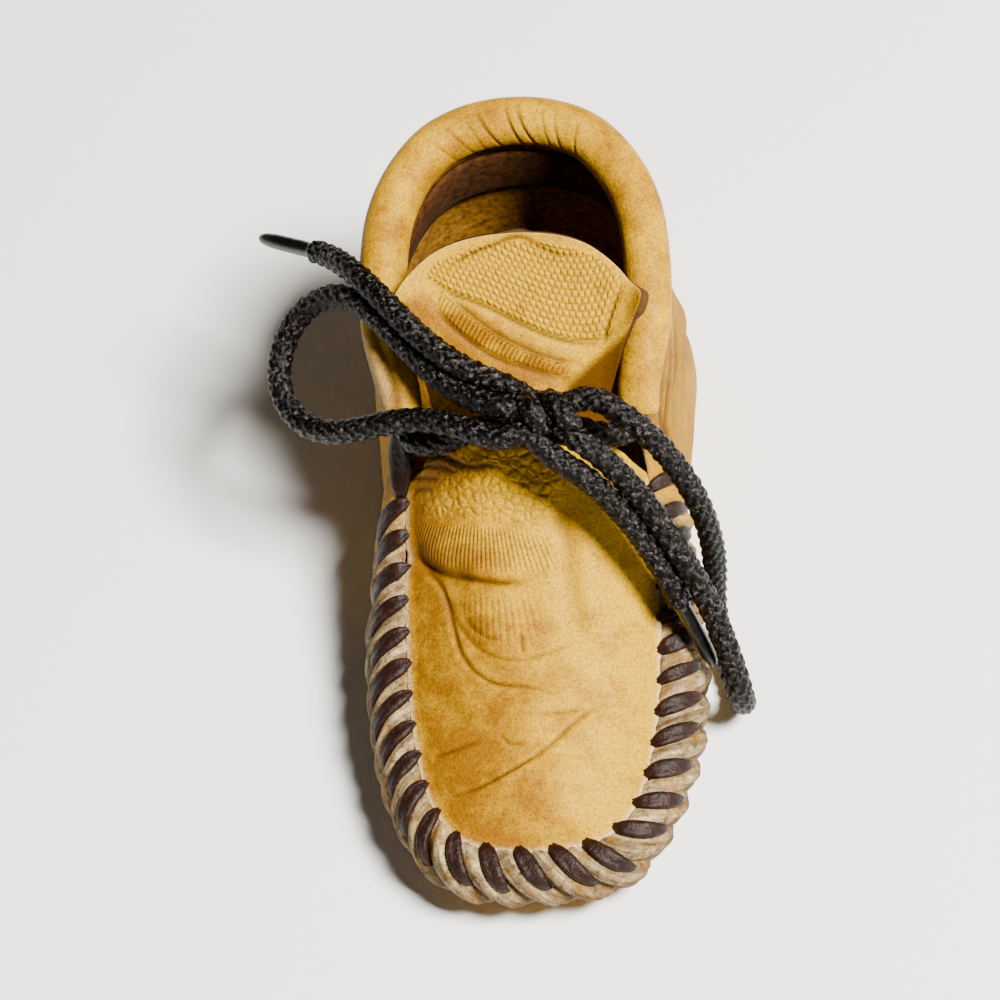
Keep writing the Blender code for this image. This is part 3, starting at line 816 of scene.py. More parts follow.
def finish_surface(tree, shader, height, colour=None):
    """Gives the shader a normal from a height in millimetres, and its colour where it isn't constant."""
    if colour is not None:
        tree.links.new(colour.outputs[2], shader.inputs["Base Color"])
    bump = add_node(tree, "Bump", {"Distance": MM}, {"Height": (height, 0)})
    tree.links.new(bump.outputs["Normal"], shader.inputs["Normal"])


def noise_share(tree, place, size, detail, roughness, span, reach=(0.0, 1.0)):
    """Noise with patches of a size in the units of its place, and its span spread over a reach."""
    noise = add_node(tree, "TexNoise", {"Scale": 1 / size, "Detail": detail, "Roughness": roughness},
                     {"Vector": place})
    limits = dict(zip(("From Min", "From Max", "To Min", "To Max"), span + reach))
    return noise, add_node(tree, "MapRange", limits, {"Value": (noise, "Fac")})


def tooled_relief(tree):
    """Height of the beads and ribs in the tooling attribute, and painted shade in the grooves between them.
    """
    tooling = add_node(tree, "Attribute", attribute_name="tooling")
    phases = add_node(tree, "SeparateXYZ", None, {0: (tooling, "Vector")})
    # Every second row of beads is moved along by half a bead
    rows = add_node(tree, "Math", {1: 2.0 * math.pi}, {0: (phases, "Y")}, operation="FLOORED_MODULO")
    odd = add_node(tree, "Math", {1: math.pi}, {0: (rows, 0)}, operation="GREATER_THAN")
    along = add_node(tree, "Math", {1: 0.5 * math.pi}, {0: (odd, 0), 2: (phases, "X")},
                     operation="MULTIPLY_ADD")
    first = add_node(tree, "Math", None, {0: (along, 0)}, operation="SINE")
    second = add_node(tree, "Math", None, {0: (phases, "Y")}, operation="SINE")
    both = add_node(tree, "Math", None, {0: (first, 0), 1: (second, 0)}, operation="MULTIPLY")
    size = add_node(tree, "Math", None, {0: (both, 0)}, operation="ABSOLUTE")
    bead = add_node(tree, "Math", {1: 0.9}, {0: (size, 0)}, operation="POWER")
    raised = add_node(tree, "Math", None, {0: (bead, 0), 1: (phases, "Z")}, operation="MULTIPLY")
    sunk = add_node(tree, "Math", None, {0: (phases, "Z"), 1: (raised, 0)}, operation="SUBTRACT")
    groove_shade = add_node(tree, "MapRange", {"From Min": 0.12, "From Max": 0.32, "To Max": 0.42},
                      {"Value": (sunk, 0)})
    return raised, groove_shade


def pored_grain(tree, place, dark, below):
    """Pores as darker specks about 0.4 mm apart over a colour, their strength, and the grain's height.

    The grain is cells 0.9 mm across, 0.05 mm lower at their rims.
    """
    _, pores = noise_share(tree, place, 0.0004, 2.0, 0.7, (0.4, 0.66), (0.0, 0.5))
    colour = add_node(tree, "Mix", {7: dark}, {0: (pores, "Result"), 6: (below, 2)}, data_type="RGBA")
    cells = add_node(tree, "TexVoronoi", {"Scale": 1 / 0.0009, "Smoothness": 0.6}, {"Vector": place},
                     feature="SMOOTH_F1")
    height = add_node(tree, "Math", {1: -0.05}, {0: (cells, "Distance")}, operation="MULTIPLY")
    return colour, pores, height


def grain_leather(colours):
    """Tan full-grain leather, drum dyed and waxed.

    It is a mottled ochre, paler in patches, with darker pores; it carries painted shade in creases, grooves
    and hollows, and partly painted light on the plug.
    """
    material, tree, shader, place = new_surface("tan full-grain leather", Roughness=0.5, IOR=1.45,
                                                Specular_IOR_Level=0.1)
    _, patch = noise_share(tree, place, 0.007, 6.0, 0.7, (0.34, 0.66), (-0.5, 0.5))
    tone = add_node(tree, "Attribute", attribute_name="tone")
    pale = add_node(tree, "Math", None, {0: (patch, "Result"), 1: (tone, "Fac")}, operation="ADD",
                    use_clamp=True)
    base = add_node(tree, "Mix", {6: colours.leather, 7: colours.leather_pale}, {0: (pale, 0)},
                    data_type="RGBA")
    # Pale where the raw attribute asks: cut edges, and partly painted highlights on the plug's folded seam
    # edge and the collar's left end
    raw = add_node(tree, "Attribute", attribute_name="raw")
    edged = add_node(tree, "Mix", {7: colours.suede}, {0: (raw, "Fac"), 6: (base, 2)}, data_type="RGBA")
    dark = {7: colours.leather_dark}
    # Painted shade in creases, wrinkles and the tongue's turned-down margin, and dark seams
    shade_and_seams = add_node(tree, "Attribute", attribute_name="shade_and_seams")
    shade = add_node(tree, "Mix", dark, {0: (shade_and_seams, "Fac"), 6: (edged, 2)}, data_type="RGBA")
    raised, groove_shade = tooled_relief(tree)
    # Painted shade in the grooves of the tooling
    marked = add_node(tree, "Mix", dark, {0: (groove_shade, "Result"), 6: (shade, 2)}, data_type="RGBA")
    # Rounded pebbles about 1.7 mm across, with thin darker outlines of painted shade in the grooves between
    # them, only where the attribute asks for them
    pebble = add_node(tree, "TexVoronoi", {"Scale": 1 / 0.0017, "Randomness": 0.7}, {"Vector": place},
                      feature="DISTANCE_TO_EDGE")
    oval = add_node(tree, "Attribute", attribute_name="pebbled")
    outline = add_node(tree, "MapRange", {"From Max": 0.1, "To Min": 0.4, "To Max": 0.0},
                       {"Value": (pebble, "Distance")})
    outlined = add_node(tree, "Math", None, {0: (outline, "Result"), 1: (oval, "Fac")}, operation="MULTIPLY")
    scaled = add_node(tree, "Mix", dark, {0: (outlined, 0), 6: (marked, 2)}, data_type="RGBA")
    colour, pores, grain = pored_grain(tree, place, colours.leather_dark, scaled)
    # Heights in millimetres: grain, pebbles, sunk pores and tooling
    dome = add_node(tree, "MapRange", {"From Max": 0.32, "To Max": 0.22}, {"Value": (pebble, "Distance")},
                    interpolation_type="SMOOTHSTEP")
    domed = add_node(tree, "Math", None, {0: (dome, "Result"), 1: (oval, "Fac")}, operation="MULTIPLY")
    relief = add_node(tree, "Math", None, {0: (grain, 0), 1: (domed, 0)}, operation="ADD")
    pored = add_node(tree, "Math", {1: -0.06}, {0: (pores, "Result"), 2: (relief, 0)},
                     operation="MULTIPLY_ADD")
    height = add_node(tree, "Math", None, {0: (pored, 0), 1: (raised, 0)}, operation="ADD")
    finish_surface(tree, shader, height, colour)
    return material


def bottom_leather(colours):
    """The same hide on the bottom.

    Its tan grain goes over into pale, rubbed and stained suede where it is gathered.
    """
    material, tree, shader, place = new_surface("tan leather with rubbed suede edge", Roughness=0.7,
                                                Specular_IOR_Level=0.16)
    _, patch = noise_share(tree, place, 0.009, 5.0, 0.65, (0.3, 0.7), (0.15, 0.85))
    tan = add_node(tree, "Mix", {6: colours.leather, 7: colours.leather_pale}, {0: (patch, "Result")},
                   data_type="RGBA")
    # Nap of the suede lies in tufts of about 1.8 mm, with ochre stains about 4 mm apart
    tufts, tuft = noise_share(tree, place, 0.0018, 5.0, 0.7, (0.32, 0.6))
    # Streaks of the gathers run down the wall beside the stitches, about four to a stitch
    pleat = add_node(tree, "Attribute", attribute_name="pleat")
    _, streak = noise_share(tree, (pleat, "Vector"), 1.0, 4.0, 0.65, (0.32, 0.62))
    brushed = add_node(tree, "Math", None, {0: (tuft, "Result"), 1: (streak, "Result")},
                       operation="MULTIPLY")
    nap = add_node(tree, "Mix", {6: colours.suede_shade, 7: colours.suede}, {0: (brushed, 0)},
                   data_type="RGBA")
    _, stain = noise_share(tree, place, 0.004, 3.0, 0.6, (0.5, 0.7), (0.0, 0.75))
    stained = add_node(tree, "Mix", {7: colours.leather}, {0: (stain, "Result"), 6: (nap, 2)},
                       data_type="RGBA")
    gather = add_node(tree, "Attribute", attribute_name="gather")
    mixed = add_node(tree, "Mix", None, {0: (gather, "Fac"), 6: (tan, 2), 7: (stained, 2)}, data_type="RGBA")
    # Painted shade in the gathers' valleys, folds and under the collar, and dark seams
    shade_and_seams = add_node(tree, "Attribute", attribute_name="shade_and_seams")
    shade = add_node(tree, "Mix", {7: colours.leather_dark}, {0: (shade_and_seams, "Fac"), 6: (mixed, 2)},
                     data_type="RGBA")
    colour, _, grain = pored_grain(tree, place, colours.leather_dark, shade)
    # Heights in millimetres: grain, and nap and pleats where the hide is gathered
    nap_height = add_node(tree, "Math", {1: 0.3}, {0: (tufts, "Fac")}, operation="MULTIPLY")
    pleated = add_node(tree, "Math", {1: 0.3}, {0: (streak, "Result"), 2: (nap_height, 0)},
                       operation="MULTIPLY_ADD")
    height = add_node(tree, "Math", None, {0: (pleated, 0), 1: (gather, "Fac"), 2: (grain, 0)},
                      operation="MULTIPLY_ADD")
    finish_surface(tree, shader, height, colour)
    return material


def fibre_surface(name, low, high, tuft, span, depth, seam=None, **constants):
    """Nap or fibre: noise of a tuft (size, detail, roughness) mixes two colours and gives the height.

    Where a seam's colour is given, it darkens the surface by the attribute that carries painted shade and
    dark seams.
    """
    material, tree, shader, place = new_surface(name, **constants)
    tufts, share = noise_share(tree, place, *tuft, span)
    colour = add_node(tree, "Mix", {6: low, 7: high}, {0: (share, "Result")}, data_type="RGBA")
    # Painted shade and dark seams from the attribute
    if seam is not None:
        shade_and_seams = add_node(tree, "Attribute", attribute_name="shade_and_seams")
        colour = add_node(tree, "Mix", {7: seam}, {0: (shade_and_seams, "Fac"), 6: (colour, 2)}, data_type="RGBA")
    height = add_node(tree, "Math", {1: depth}, {0: (tufts, "Fac")}, operation="MULTIPLY")
    finish_surface(tree, shader, height, colour)
    return material


def suede(name, light, dark, colours):
    """Flesh side of the hide, buffed: matt, with a short nap that is lighter where it is brushed up.

    The heel seam shows inside as a darker line, and the hide's painted shade in folds and creases shows
    there too.
    """
    return fibre_surface(name, dark, light, (0.0014, 5.0, 0.72), (0.32, 0.66), 0.3, colours.leather_dark,
                         Roughness=0.95, IOR=1.4, Specular_IOR_Level=0.2)


def thong_leather(colours):
    """Dark brown lacing thong, oiled and skived: crinkled, with a soft shine and worn, redder spots."""
    return fibre_surface("dark brown oiled thong", colours.thong, colours.thong_worn, (0.0011, 4.0, 0.6),
                         (0.48, 0.74), 0.32, Roughness=0.5, IOR=1.48, Specular_IOR_Level=0.22)


def braid_polyester(colours):
    """Black spun polyester braid: near-black yarns that glint along their crests, with lighter flecks
    painted in as glints.
    """
    return fibre_surface("black polyester braid", colours.lace, colours.lace_painted_glint, (0.0007, 3.0, 0.65),
                         (0.55, 0.68), 0.36, Roughness=0.3, IOR=1.5, Specular_IOR_Level=0.13)


def tip_plastic(colours):
    """Black acetate tip, shrunk on hot: smooth and fairly glossy, with faint waves."""
    material, tree, shader, place = new_surface("black acetate tip", Base_Color=colours.lace, Roughness=0.3,
                                                IOR=1.48)
    waves = add_node(tree, "TexNoise", {"Scale": 1 / 0.003, "Detail": 2.0}, {"Vector": place})
    height = add_node(tree, "Math", {1: 0.2}, {0: (waves, "Fac")}, operation="MULTIPLY")
    finish_surface(tree, shader, height)
    return material


def floor_paper(colours):
    """Pale seamless studio paper: matt, with a very faint cloudiness."""
    material, tree, shader, place = new_surface("pale studio paper", Roughness=0.9)
    cloud = add_node(tree, "TexNoise", {"Scale": 1 / 0.2, "Detail": 2.0}, {"Vector": place})
    colour = add_node(tree, "Mix", {6: colours.paper, 7: colours.paper_shade}, {0: (cloud, "Fac")},
                      data_type="RGBA")
    tree.links.new(colour.outputs[2], shader.inputs["Base Color"])
    return material


def colour_property(name, code, description):
    """A colour setting whose default is an sRGB hex code."""
    return FloatVectorProperty(name=name, description=description, default=linear(code), subtype="COLOR",
                               size=4, min=0.0, max=1.0)


def length_property(name, metres, description):
    """A length setting in metres."""
    return FloatProperty(name=name, description=description, default=metres, min=0.0, unit="LENGTH")


class MoccasinColours(PropertyGroup):
    """Colours of the leather, suede, thong, lace and stage."""

    leather: colour_property("Leather", "#895A00", "Tan grain leather, deep ochre")
    # Paler grain: random patches, and on the plug partly painted light where the right side faces the key
    leather_pale: colour_property("Pale leather", "#CA9A00", "Rubbed, lighter grain")
    # Dark grain: pores, and the painted shade in creases, grooves and hollows
    leather_dark: colour_property("Dark leather", "#432602", "Creases, pores and hollows of the grain")
    # Pale suede: the gathered seam's nap, and partly a painted highlight along the plug's seam edge and on
    # the collar's left end
    suede: colour_property("Pale suede", "#CCB386", "Rubbed suede along the gathered seam")
    suede_shade: colour_property("Shaded suede", "#40301C", "Flattened nap of the gathered seam")
    lining: colour_property("Lining", "#B07C1E", "Brushed flesh side inside the shoe")
    lining_shade: colour_property("Shaded lining", "#4A2A08", "Flattened nap inside the shoe")
    # Darker than the lining: partly the strip's own colour, partly painted shade under the collar roll
    facing: colour_property("Facing", "#52300F", "Strip inside the collar")
    thong: colour_property("Thong", "#180804", "Dark brown whip thong")
    thong_worn: colour_property("Worn thong", "#30160D", "Worn edges of the thong")
    lace: colour_property("Lace", "#020202", "Black braid and its tips")
    # Painted glints: lighter flecks over the black braid
    lace_painted_glint: colour_property("Lace glints", "#4C4344", "Lighter fibres of the braid")
    paper: colour_property("Floor", "#F4F7FC", "Pale floor")
    paper_shade: colour_property("Floor clouds", "#EEF1F6", "Faint clouds of the floor")


class MoccasinSizes(PropertyGroup):
    """Sizes of the hide, gathers, thongs and lace."""

    bottom_hide: length_property("Bottom hide", 0.0016, "Thickness of the bottom's hide")
    plug_hide: length_property("Plug hide", 0.0015, "Thickness of the plug and tongue")
    pucker: length_property("Gathers", 0.0010, "Height of the gathers at the plug seam")
    thong_width: length_property("Thong width", 0.0029, "Width of the whip thong")
    thong_thickness: length_property("Thong thickness", 0.0014, "Thickness of the whip thong")
    lace_diameter: length_property("Lace diameter", 2.0 * LACE_RADIUS * MM, "Thickness of the round lace")


class MOCCASIN_OT_bottom(Operator):
    """Builds the one-piece bottom with its gathers, folds and heel seam"""

    bl_idname = "moccasin.bottom"
    bl_label = "Gathered bottom"

    def execute(self, context):
        sizes, colours = context.scene.moccasin_sizes, context.scene.moccasin_colours
        grid, share, rise = bottom_grid()
        x, y, z = grid[..., 0], grid[..., 1], grid[..., 2]
        normal = grid_normals(grid, True)
        gathers = pucker(share, rise, sizes.pucker / MM)
        folds, lines = np.array(hide_folds(grid)) * ease(rise, 0.15, 0.4)
        loose = HIDE_SLACK * ripple(y * 0.2 + x * 0.1, z * 0.25, 5) * ease(rise, 0.1, 0.5)
        before = 1.0 - ease(np.abs(share), 0.86, 1.0)
        behind = ease(np.abs(share), 1.0, 1.08)
        # A line of stitches runs under the collar, and a seam closes the heel
        strip = np.exp(-(((1.0 - rise) * WALL_RUN - STITCH_LINE_DROP) ** 2) / 0.5) * behind
        heel = bell(x, HEEL_SEAM_HALF) * (y > 30.0) * ease(rise, 0.1, 0.3)
        push = gathers + loose - folds - STITCH_LINE_DEPTH * strip - HEEL_SEAM_DEPTH * heel
        surface = grid + normal * push[..., None]
        surface[..., 2] = np.maximum(surface[..., 2], 0.0)
        band = ease(rise, 0.2, 0.4) * before
        # Painted shade in the valleys of the gathers
        valley = np.clip(-gathers / (sizes.pucker / MM), 0.0, 1.0) ** 2
        # Painted shade on the lower, outward part of the gathered wall
        under = 0.6 * ease(rise, 0.2, 0.36) * (1.0 - ease(rise, 0.48, 0.7)) * before
        collar_shade = (0.2 * ease(rise, 0.25, 0.5) + 0.35 * ease(rise, 0.74, 0.9)) * behind
        # Painted shade where shade falls: gathers' valleys, folds, the lower wall and under the collar; the
        # stitch line and heel seam are dark seams
        shade_and_seams = 0.8 * valley + lines + 0.5 * strip + 0.7 * heel + under + collar_shade
        phase = stitch_phase(share, rise)
        pleat = np.stack([3.6 * phase, 1.8 * rise, np.zeros_like(phase)], axis=-1)
        values = {"gather": band, "shade_and_seams": np.clip(shade_and_seams, 0.0, 0.9), "pleat": pleat}
        finishes = [
            bottom_leather(colours),
            suede("tan suede lining", colours.lining, colours.lining_shade, colours),
            suede("raw cut edge", colours.suede, colours.suede_shade, colours),
        ]
        piece = make_piece("bottom_hide", surface, grid_faces(*grid.shape[:2], True), finishes, values)
        give_thickness(piece, sizes.bottom_hide)
        place_piece(piece, "tan_leather", "moccasin_bottom")
        return {"FINISHED"}


class MOCCASIN_OT_plug(Operator):
    """Builds the plug and tongue with their creases, tooling and turned corner"""

    bl_idname = "moccasin.plug"
    bl_label = "Plug and tongue"

    def execute(self, context):
        sizes, colours = context.scene.moccasin_sizes, context.scene.moccasin_colours
        edge = two_sides(plug_edge())
        shares = np.linspace(0.0, 1.0, PLUG_ROWS)
        grid = plug_at(edge[:, None, :], shares[None, :])
        flat = grid.copy()
        turned = self.turn_corner(grid)
        normal = plug_normals(grid, edge, shares)
        creases, dark = crease_marks(flat, PLUG_CREASES)
        loose = HIDE_SLACK * ripple(grid[..., 0] * 0.2, grid[..., 1] * 0.17, 11)
        loose = loose * (1.0 - ease(shares, 0.8, 1.0))[None, :]
        # The seam's edge is pushed up and out a little against the gathered rim
        pushed = ease(shares, 0.93, 1.0)[None, :] * (1.0 - ease(flat[..., 1], 2.0, 5.0))
        surface = grid + normal * (loose - creases + RIM_LIFT * pushed)[..., None]
        surface[..., :2] *= 1.0 + RIM_SPREAD * pushed[..., None]
        # A pale line along the seam's edge: partly the raw edge, partly a painted highlight on the folded
        # edge; a fainter raw edge along the tongue's top
        seam = ease(shares, 0.968, 0.982)[None, :] * (1.0 - ease(flat[..., 1], 2.0, 4.0))
        seam = seam + 0.35 * ease(shares, 0.975, 0.99)[None, :] * ease(flat[..., 1], 20.0, 24.0)
        values = {
            # Painted shade along the creases, and painted shadow on the tongue's turned-down margin
            "shade_and_seams": np.maximum(dark, 0.95 * ease(turned, 0.05, 1.2)),
            "tooling": tool_marks(flat),
            "pebbled": pebbled(flat),
            "tone": plug_tone_and_light(flat),
            "raw": 0.9 * seam,
        }
        finishes = [
            grain_leather(colours),
            suede("tongue suede lining", colours.lining, colours.lining_shade, colours),
            suede("raw plug edge", colours.suede_shade, colours.facing, colours),
        ]
        faces = grid_faces(*grid.shape[:2], True)[:, ::-1]
        piece = make_piece("plug_and_tongue_hide", surface, faces, finishes, values)
        give_thickness(piece, sizes.plug_hide)
        place_piece(piece, "tan_leather", "plug_and_tongue")
        return {"FINISHED"}

    def turn_corner(self, grid):
        """Turns the tongue's right corner up and the margin below it down, and gives that drop.

        Beyond its fold the corner rises by 0.45 fold^2. The margin drops by MARGIN_DROP times
        1 - exp(-0.45 off), off being the distance from its line.
        """
        x, y = grid[..., 0], grid[..., 1]
        fold = np.clip(x - CORNER_FOLD[0] - CORNER_LEAN * (y - CORNER_FOLD[1]), 0.0, None)
        fold = fold * ease(y, 11.0, 15.0)
        off = MARGIN_SIDE[0] * (x - MARGIN_LINE[0]) + MARGIN_SIDE[1] * (y - MARGIN_LINE[1])
        off = np.clip(off, 0.0, None) * ease(x, 6.0, 10.0)
        turned = MARGIN_DROP * (1.0 - np.exp(-0.45 * off * ease(y, 5.0, 9.0)))
        grid[..., 2] += 0.45 * fold**2 - turned
        grid[..., 0] += 0.5 * fold
        grid[..., 1] -= 0.35 * fold
        return turned


class MOCCASIN_OT_collar(Operator):
    """Builds the padded collar roll with its wrinkles and turned-in ends, and the facing inside it"""

    bl_idname = "moccasin.collar"
    bl_label = "Rolled collar"

    def execute(self, context):
        colours = context.scene.moccasin_colours
        path, radius = collar_path(COLLAR_SEAT)
        tangent = unit(np.gradient(path, axis=0))
        up = unit(UP - tangent * tangent[:, 2:])
        out = np.cross(tangent, up)
        head = path[0] - COLLAR_TURN_STEPS[::-1, None] * tangent[0]
        tail = path[-1] + COLLAR_TURN_STEPS[:, None] * tangent[-1]
        path = np.vstack([head, path, tail])
        ends = radius[0] * COLLAR_TURN_SIZES[::-1], radius[-1] * COLLAR_TURN_SIZES
        radius = np.concatenate([ends[0], radius, ends[1]])
        more = len(COLLAR_TURN_STEPS)
        up = np.pad(up, ((more, more), (0, 0)), mode="edge")
        out = np.pad(out, ((more, more), (0, 0)), mode="edge")
        theta = round_angles(COLLAR_SIDES)
        share = np.clip(np.linspace(1.03, -1.03, len(path)), -1.0, 1.0)[:, None]
        angle = theta[None, :]
        crease = np.zeros((len(path), len(theta)))
        inner_top = np.clip(-0.85 * np.cos(angle) + 0.5 * np.sin(angle), 0.0, 1.0) ** 2
        for place, deep, slant in COLLAR_WRINKLES:
            off = (share - place - slant * 0.1 * np.sin(angle)) * COLLAR_HALF_RUN
            crease += deep * inner_top * (bell(off, WRINKLE_HALF) - 0.25 * bell(off - 1.2, 0.9))
        # A slack tuck runs down the top of the left front end, darkened with painted shade; its outer side
        # is paler, partly the turned-out flesh side, partly a painted highlight
        tuck = bell(angle - 1.3 + 2.0 * (share + 0.92), 0.3) * ease(-share, 0.74, 0.86)
        crease += 0.6 * tuck
        raw = 0.5 * ease(-share, 0.78, 0.92) * np.exp(3.0 * np.cos(angle - 0.5) - 3.0)
        loose = COLLAR_SLACK * ripple(share * 9.0, np.cos(angle) * 1.4 + np.sin(angle), 23)
        size = radius[:, None] + (loose - crease) * (1.0 - ease(np.abs(share), 0.93, 1.0))
        grid = close_ends(path[:, None, :] + ring_directions(out, up, theta) * size[..., None])
        # Painted shade in the wrinkles and the tuck
        shade_and_seams = np.clip(2.2 * crease - 0.6 * tuck, 0.0, 0.85)
        tone = 0.55 + 0.25 * ripple(share * 5.0, np.cos(angle) + np.sin(angle), 41)
        values = {"shade_and_seams": shade_and_seams, "tone": tone, "raw": raw}
        values = {name: np.pad(value, ((1, 1), (0, 0)), mode="edge") for name, value in values.items()}
        faces = tube_faces(*grid.shape[:2], False)
        piece = make_piece("collar_roll_hide", grid, faces, [grain_leather(colours)], values)
        place_piece(piece, "tan_leather", "collar_roll")
        self.facing(context.scene.moccasin_sizes, colours)
        return {"FINISHED"}

    def facing(self, sizes, colours):
        """Strip of hide inside the collar: the wall moved in past its hide, swelling at its middle."""
        station = np.linspace(OUTLINE[THROAT_ROW] + FACING_START, OUTLINE[-1], 121)
        grid = wall_at(*np.meshgrid(station, FACING_RISES, indexing="ij"))
        grid = np.concatenate([grid, grid[-2::-1] * MIRROR])
        inward = grid_normals(grid, False)
        swell = FACING_SWELL * np.sin(math.pi * np.linspace(0.0, 1.0, len(FACING_RISES))) ** 0.5
        surface = grid + inward * (sizes.bottom_hide / MM + FACING_GAP + swell)[None, :, None]
        # Its dark colour is partly painted shade under the collar roll
        finish = suede("tan suede facing", colours.facing, colours.thong, colours)
        piece = make_piece("collar_facing", surface, grid_faces(*grid.shape[:2], False), [finish])
        give_thickness(piece, FACING_HIDE)
        place_piece(piece, "tan_leather")


class MOCCASIN_OT_thongs(Operator):
    """Builds the dark thong whip-stitched over the gathered edge into the plug, and its end at the throat"""

    bl_idname = "moccasin.thongs"
    bl_label = "Whip thongs"

    def execute(self, context):
        sizes, colours = context.scene.moccasin_sizes, context.scene.moccasin_colours
        stitch = (np.arange(2 * STITCHES_PER_SIDE) + 0.5) / STITCHES_PER_SIDE - 1.0
        # Each stitch differs a little: its reach down the wall, its slant and its width
        vary = np.random.default_rng(7).uniform(-1.0, 1.0, (len(stitch), 3))
        middle, normal = self.stitch_lines(stitch, vary, sizes.pucker / MM)
        end, end_normal = self.end_line()
        middle = np.concatenate([middle, end[None]])
        normal = np.concatenate([normal, end_normal[None]])
        count = len(middle)
        knots = np.linspace(0.0, 1.0, len(THONG_LIFTS))
        at = np.linspace(0.0, 1.0, THONG_RINGS)
        path = self.curves(knots, middle, at)
        facing = unit(self.curves(knots, normal, at))
        tangent = unit(np.gradient(path, axis=1))
        across = unit(np.cross(tangent, facing))
        facing = np.cross(across, tangent)
        theta = round_angles(THONG_SIDES)
        cosine, sine = np.cos(theta), np.sin(theta)
        # Section of a skived strip: cos and sin to a power below 1, with a shallow fold along its upper side
        wide = np.sign(cosine) * np.abs(cosine) ** THONG_SECTION * 0.5 * sizes.thong_width / MM
        fold = 1.0 - 0.4 * bell(cosine - 0.15, 0.22) * (sine > 0.0)
        thick = np.sign(sine) * np.abs(sine) ** THONG_SECTION * 0.5 * sizes.thong_thickness / MM * fold
        # It is pointed where it dives into the plug and into the wall
        point = np.clip((at - 0.06) / 0.86, 0.0, 1.0)
        narrow = (0.08 + 0.92 * np.sin(math.pi * point) ** 0.75)[None, :, None, None]
        broad = np.append(1.0 + 0.14 * vary[:, 2], THONG_END_WIDTH)[:, None, None, None]
        turns = 6.0 * at[None, :, None] + 4.0 * np.arange(count)[:, None, None]
        waves = ripple(turns, 1.5 * np.cos(theta + 0.6)[None, None, :], 17)
        crinkle = (1.0 + THONG_CRINKLE * waves)[..., None]
        ring = across[:, :, None, :] * wide[None, None, :, None] * narrow * broad * crinkle
        tubes = path[:, :, None, :] + ring + facing[:, :, None, :] * thick[None, None, :, None] * crinkle
        grids = np.stack([close_ends(tube) for tube in tubes])
        one = tube_faces(*grids.shape[1:3], False)[:, ::-1]
        first = np.arange(count) * grids.shape[1] * grids.shape[2]
        faces = (one[None] + first[:, None, None]).reshape(-1, 4)
        piece = make_piece("whip_thongs", grids, faces, [thong_leather(colours)])
        place_piece(piece, "tan_leather")
        return {"FINISHED"}

    def stitch_lines(self, stitch, vary, gather):
        """Middle lines and normals of the stitches, over the plug's edge and slanting down the wall."""
        height = 1.0 - (1.0 - THONG_RISES)[None, :] * (0.9 + 0.08 * vary[:, :1])
        lead = np.pad(1.0 - np.clip((height - 0.5) / 0.5, 0.0, 1.0), ((0, 0), (2, 0)))
        place = stitch[:, None] + slant_at(stitch)[:, None] * lead * (1.0 + 0.12 * vary[:, 1:2])
        side = np.where(place < 0.0, -1.0, 1.0)
        inner, outer = np.abs(place[:, :2]), np.abs(place[:, 2:])
        edge = seam_edge(inner.ravel()).reshape(inner.shape + (3,))
        on_plug = plug_at(edge, THONG_PLUG_SHARES[None, :])
        station = seam_station(np.minimum(outer.ravel(), 1.0)).reshape(outer.shape)
        station = station + np.maximum(outer - 1.0, 0.0) * SEAM_ALONG[-1]
        on_wall, wall_normal = self.wall_frame(station, height)
        top_normal = unit(wall_normal[:, :1] * 0.5 + UP)
        mirror = np.stack([side, np.ones_like(side), np.ones_like(side)], axis=-1)
        points = np.concatenate([on_plug, on_wall], axis=1) * mirror
        normal = np.concatenate([np.repeat(top_normal, 2, axis=1), wall_normal], axis=1) * mirror
        dip = np.concatenate([np.zeros_like(inner), pucker(place[:, 2:], height, gather)], axis=1)
        lift = THONG_LIFTS[None, :] + 0.6 * dip - hide_folds(points)[0]
        return points + normal * lift[..., None], normal

    def end_line(self):
        """Middle line and normals of the thong's left end, beside the throat and under the collar."""
        throat = OUTLINE[THROAT_ROW]
        station = np.linspace(throat - THONG_END_BEFORE, throat + THONG_END_BEHIND, len(THONG_LIFTS))
        points, normal = self.wall_frame(station, np.full(len(station), THONG_END_RISE))
        normal = unit(normal + 0.8 * UP)
        lift = np.minimum(THONG_LIFTS, THONG_END_LIFT)[:, None]
        return (points + normal * lift) * MIRROR, normal * MIRROR

    def wall_frame(self, station, height):
        """Points on the wall and its outward normals there."""
        points = wall_at(station, height)
        along, rising = wall_at(station + 0.3, height) - points, wall_at(station, height + 0.01) - points
        return points, unit(np.cross(along, rising))

    def curves(self, knots, rows, at):
        """One cubic curve for each stitch through its own rows."""
        count = len(rows)
        flat = rows.transpose(1, 0, 2).reshape(len(knots), -1)
        return through(knots, flat, at).reshape(len(at), count, 3).transpose(1, 0, 2)


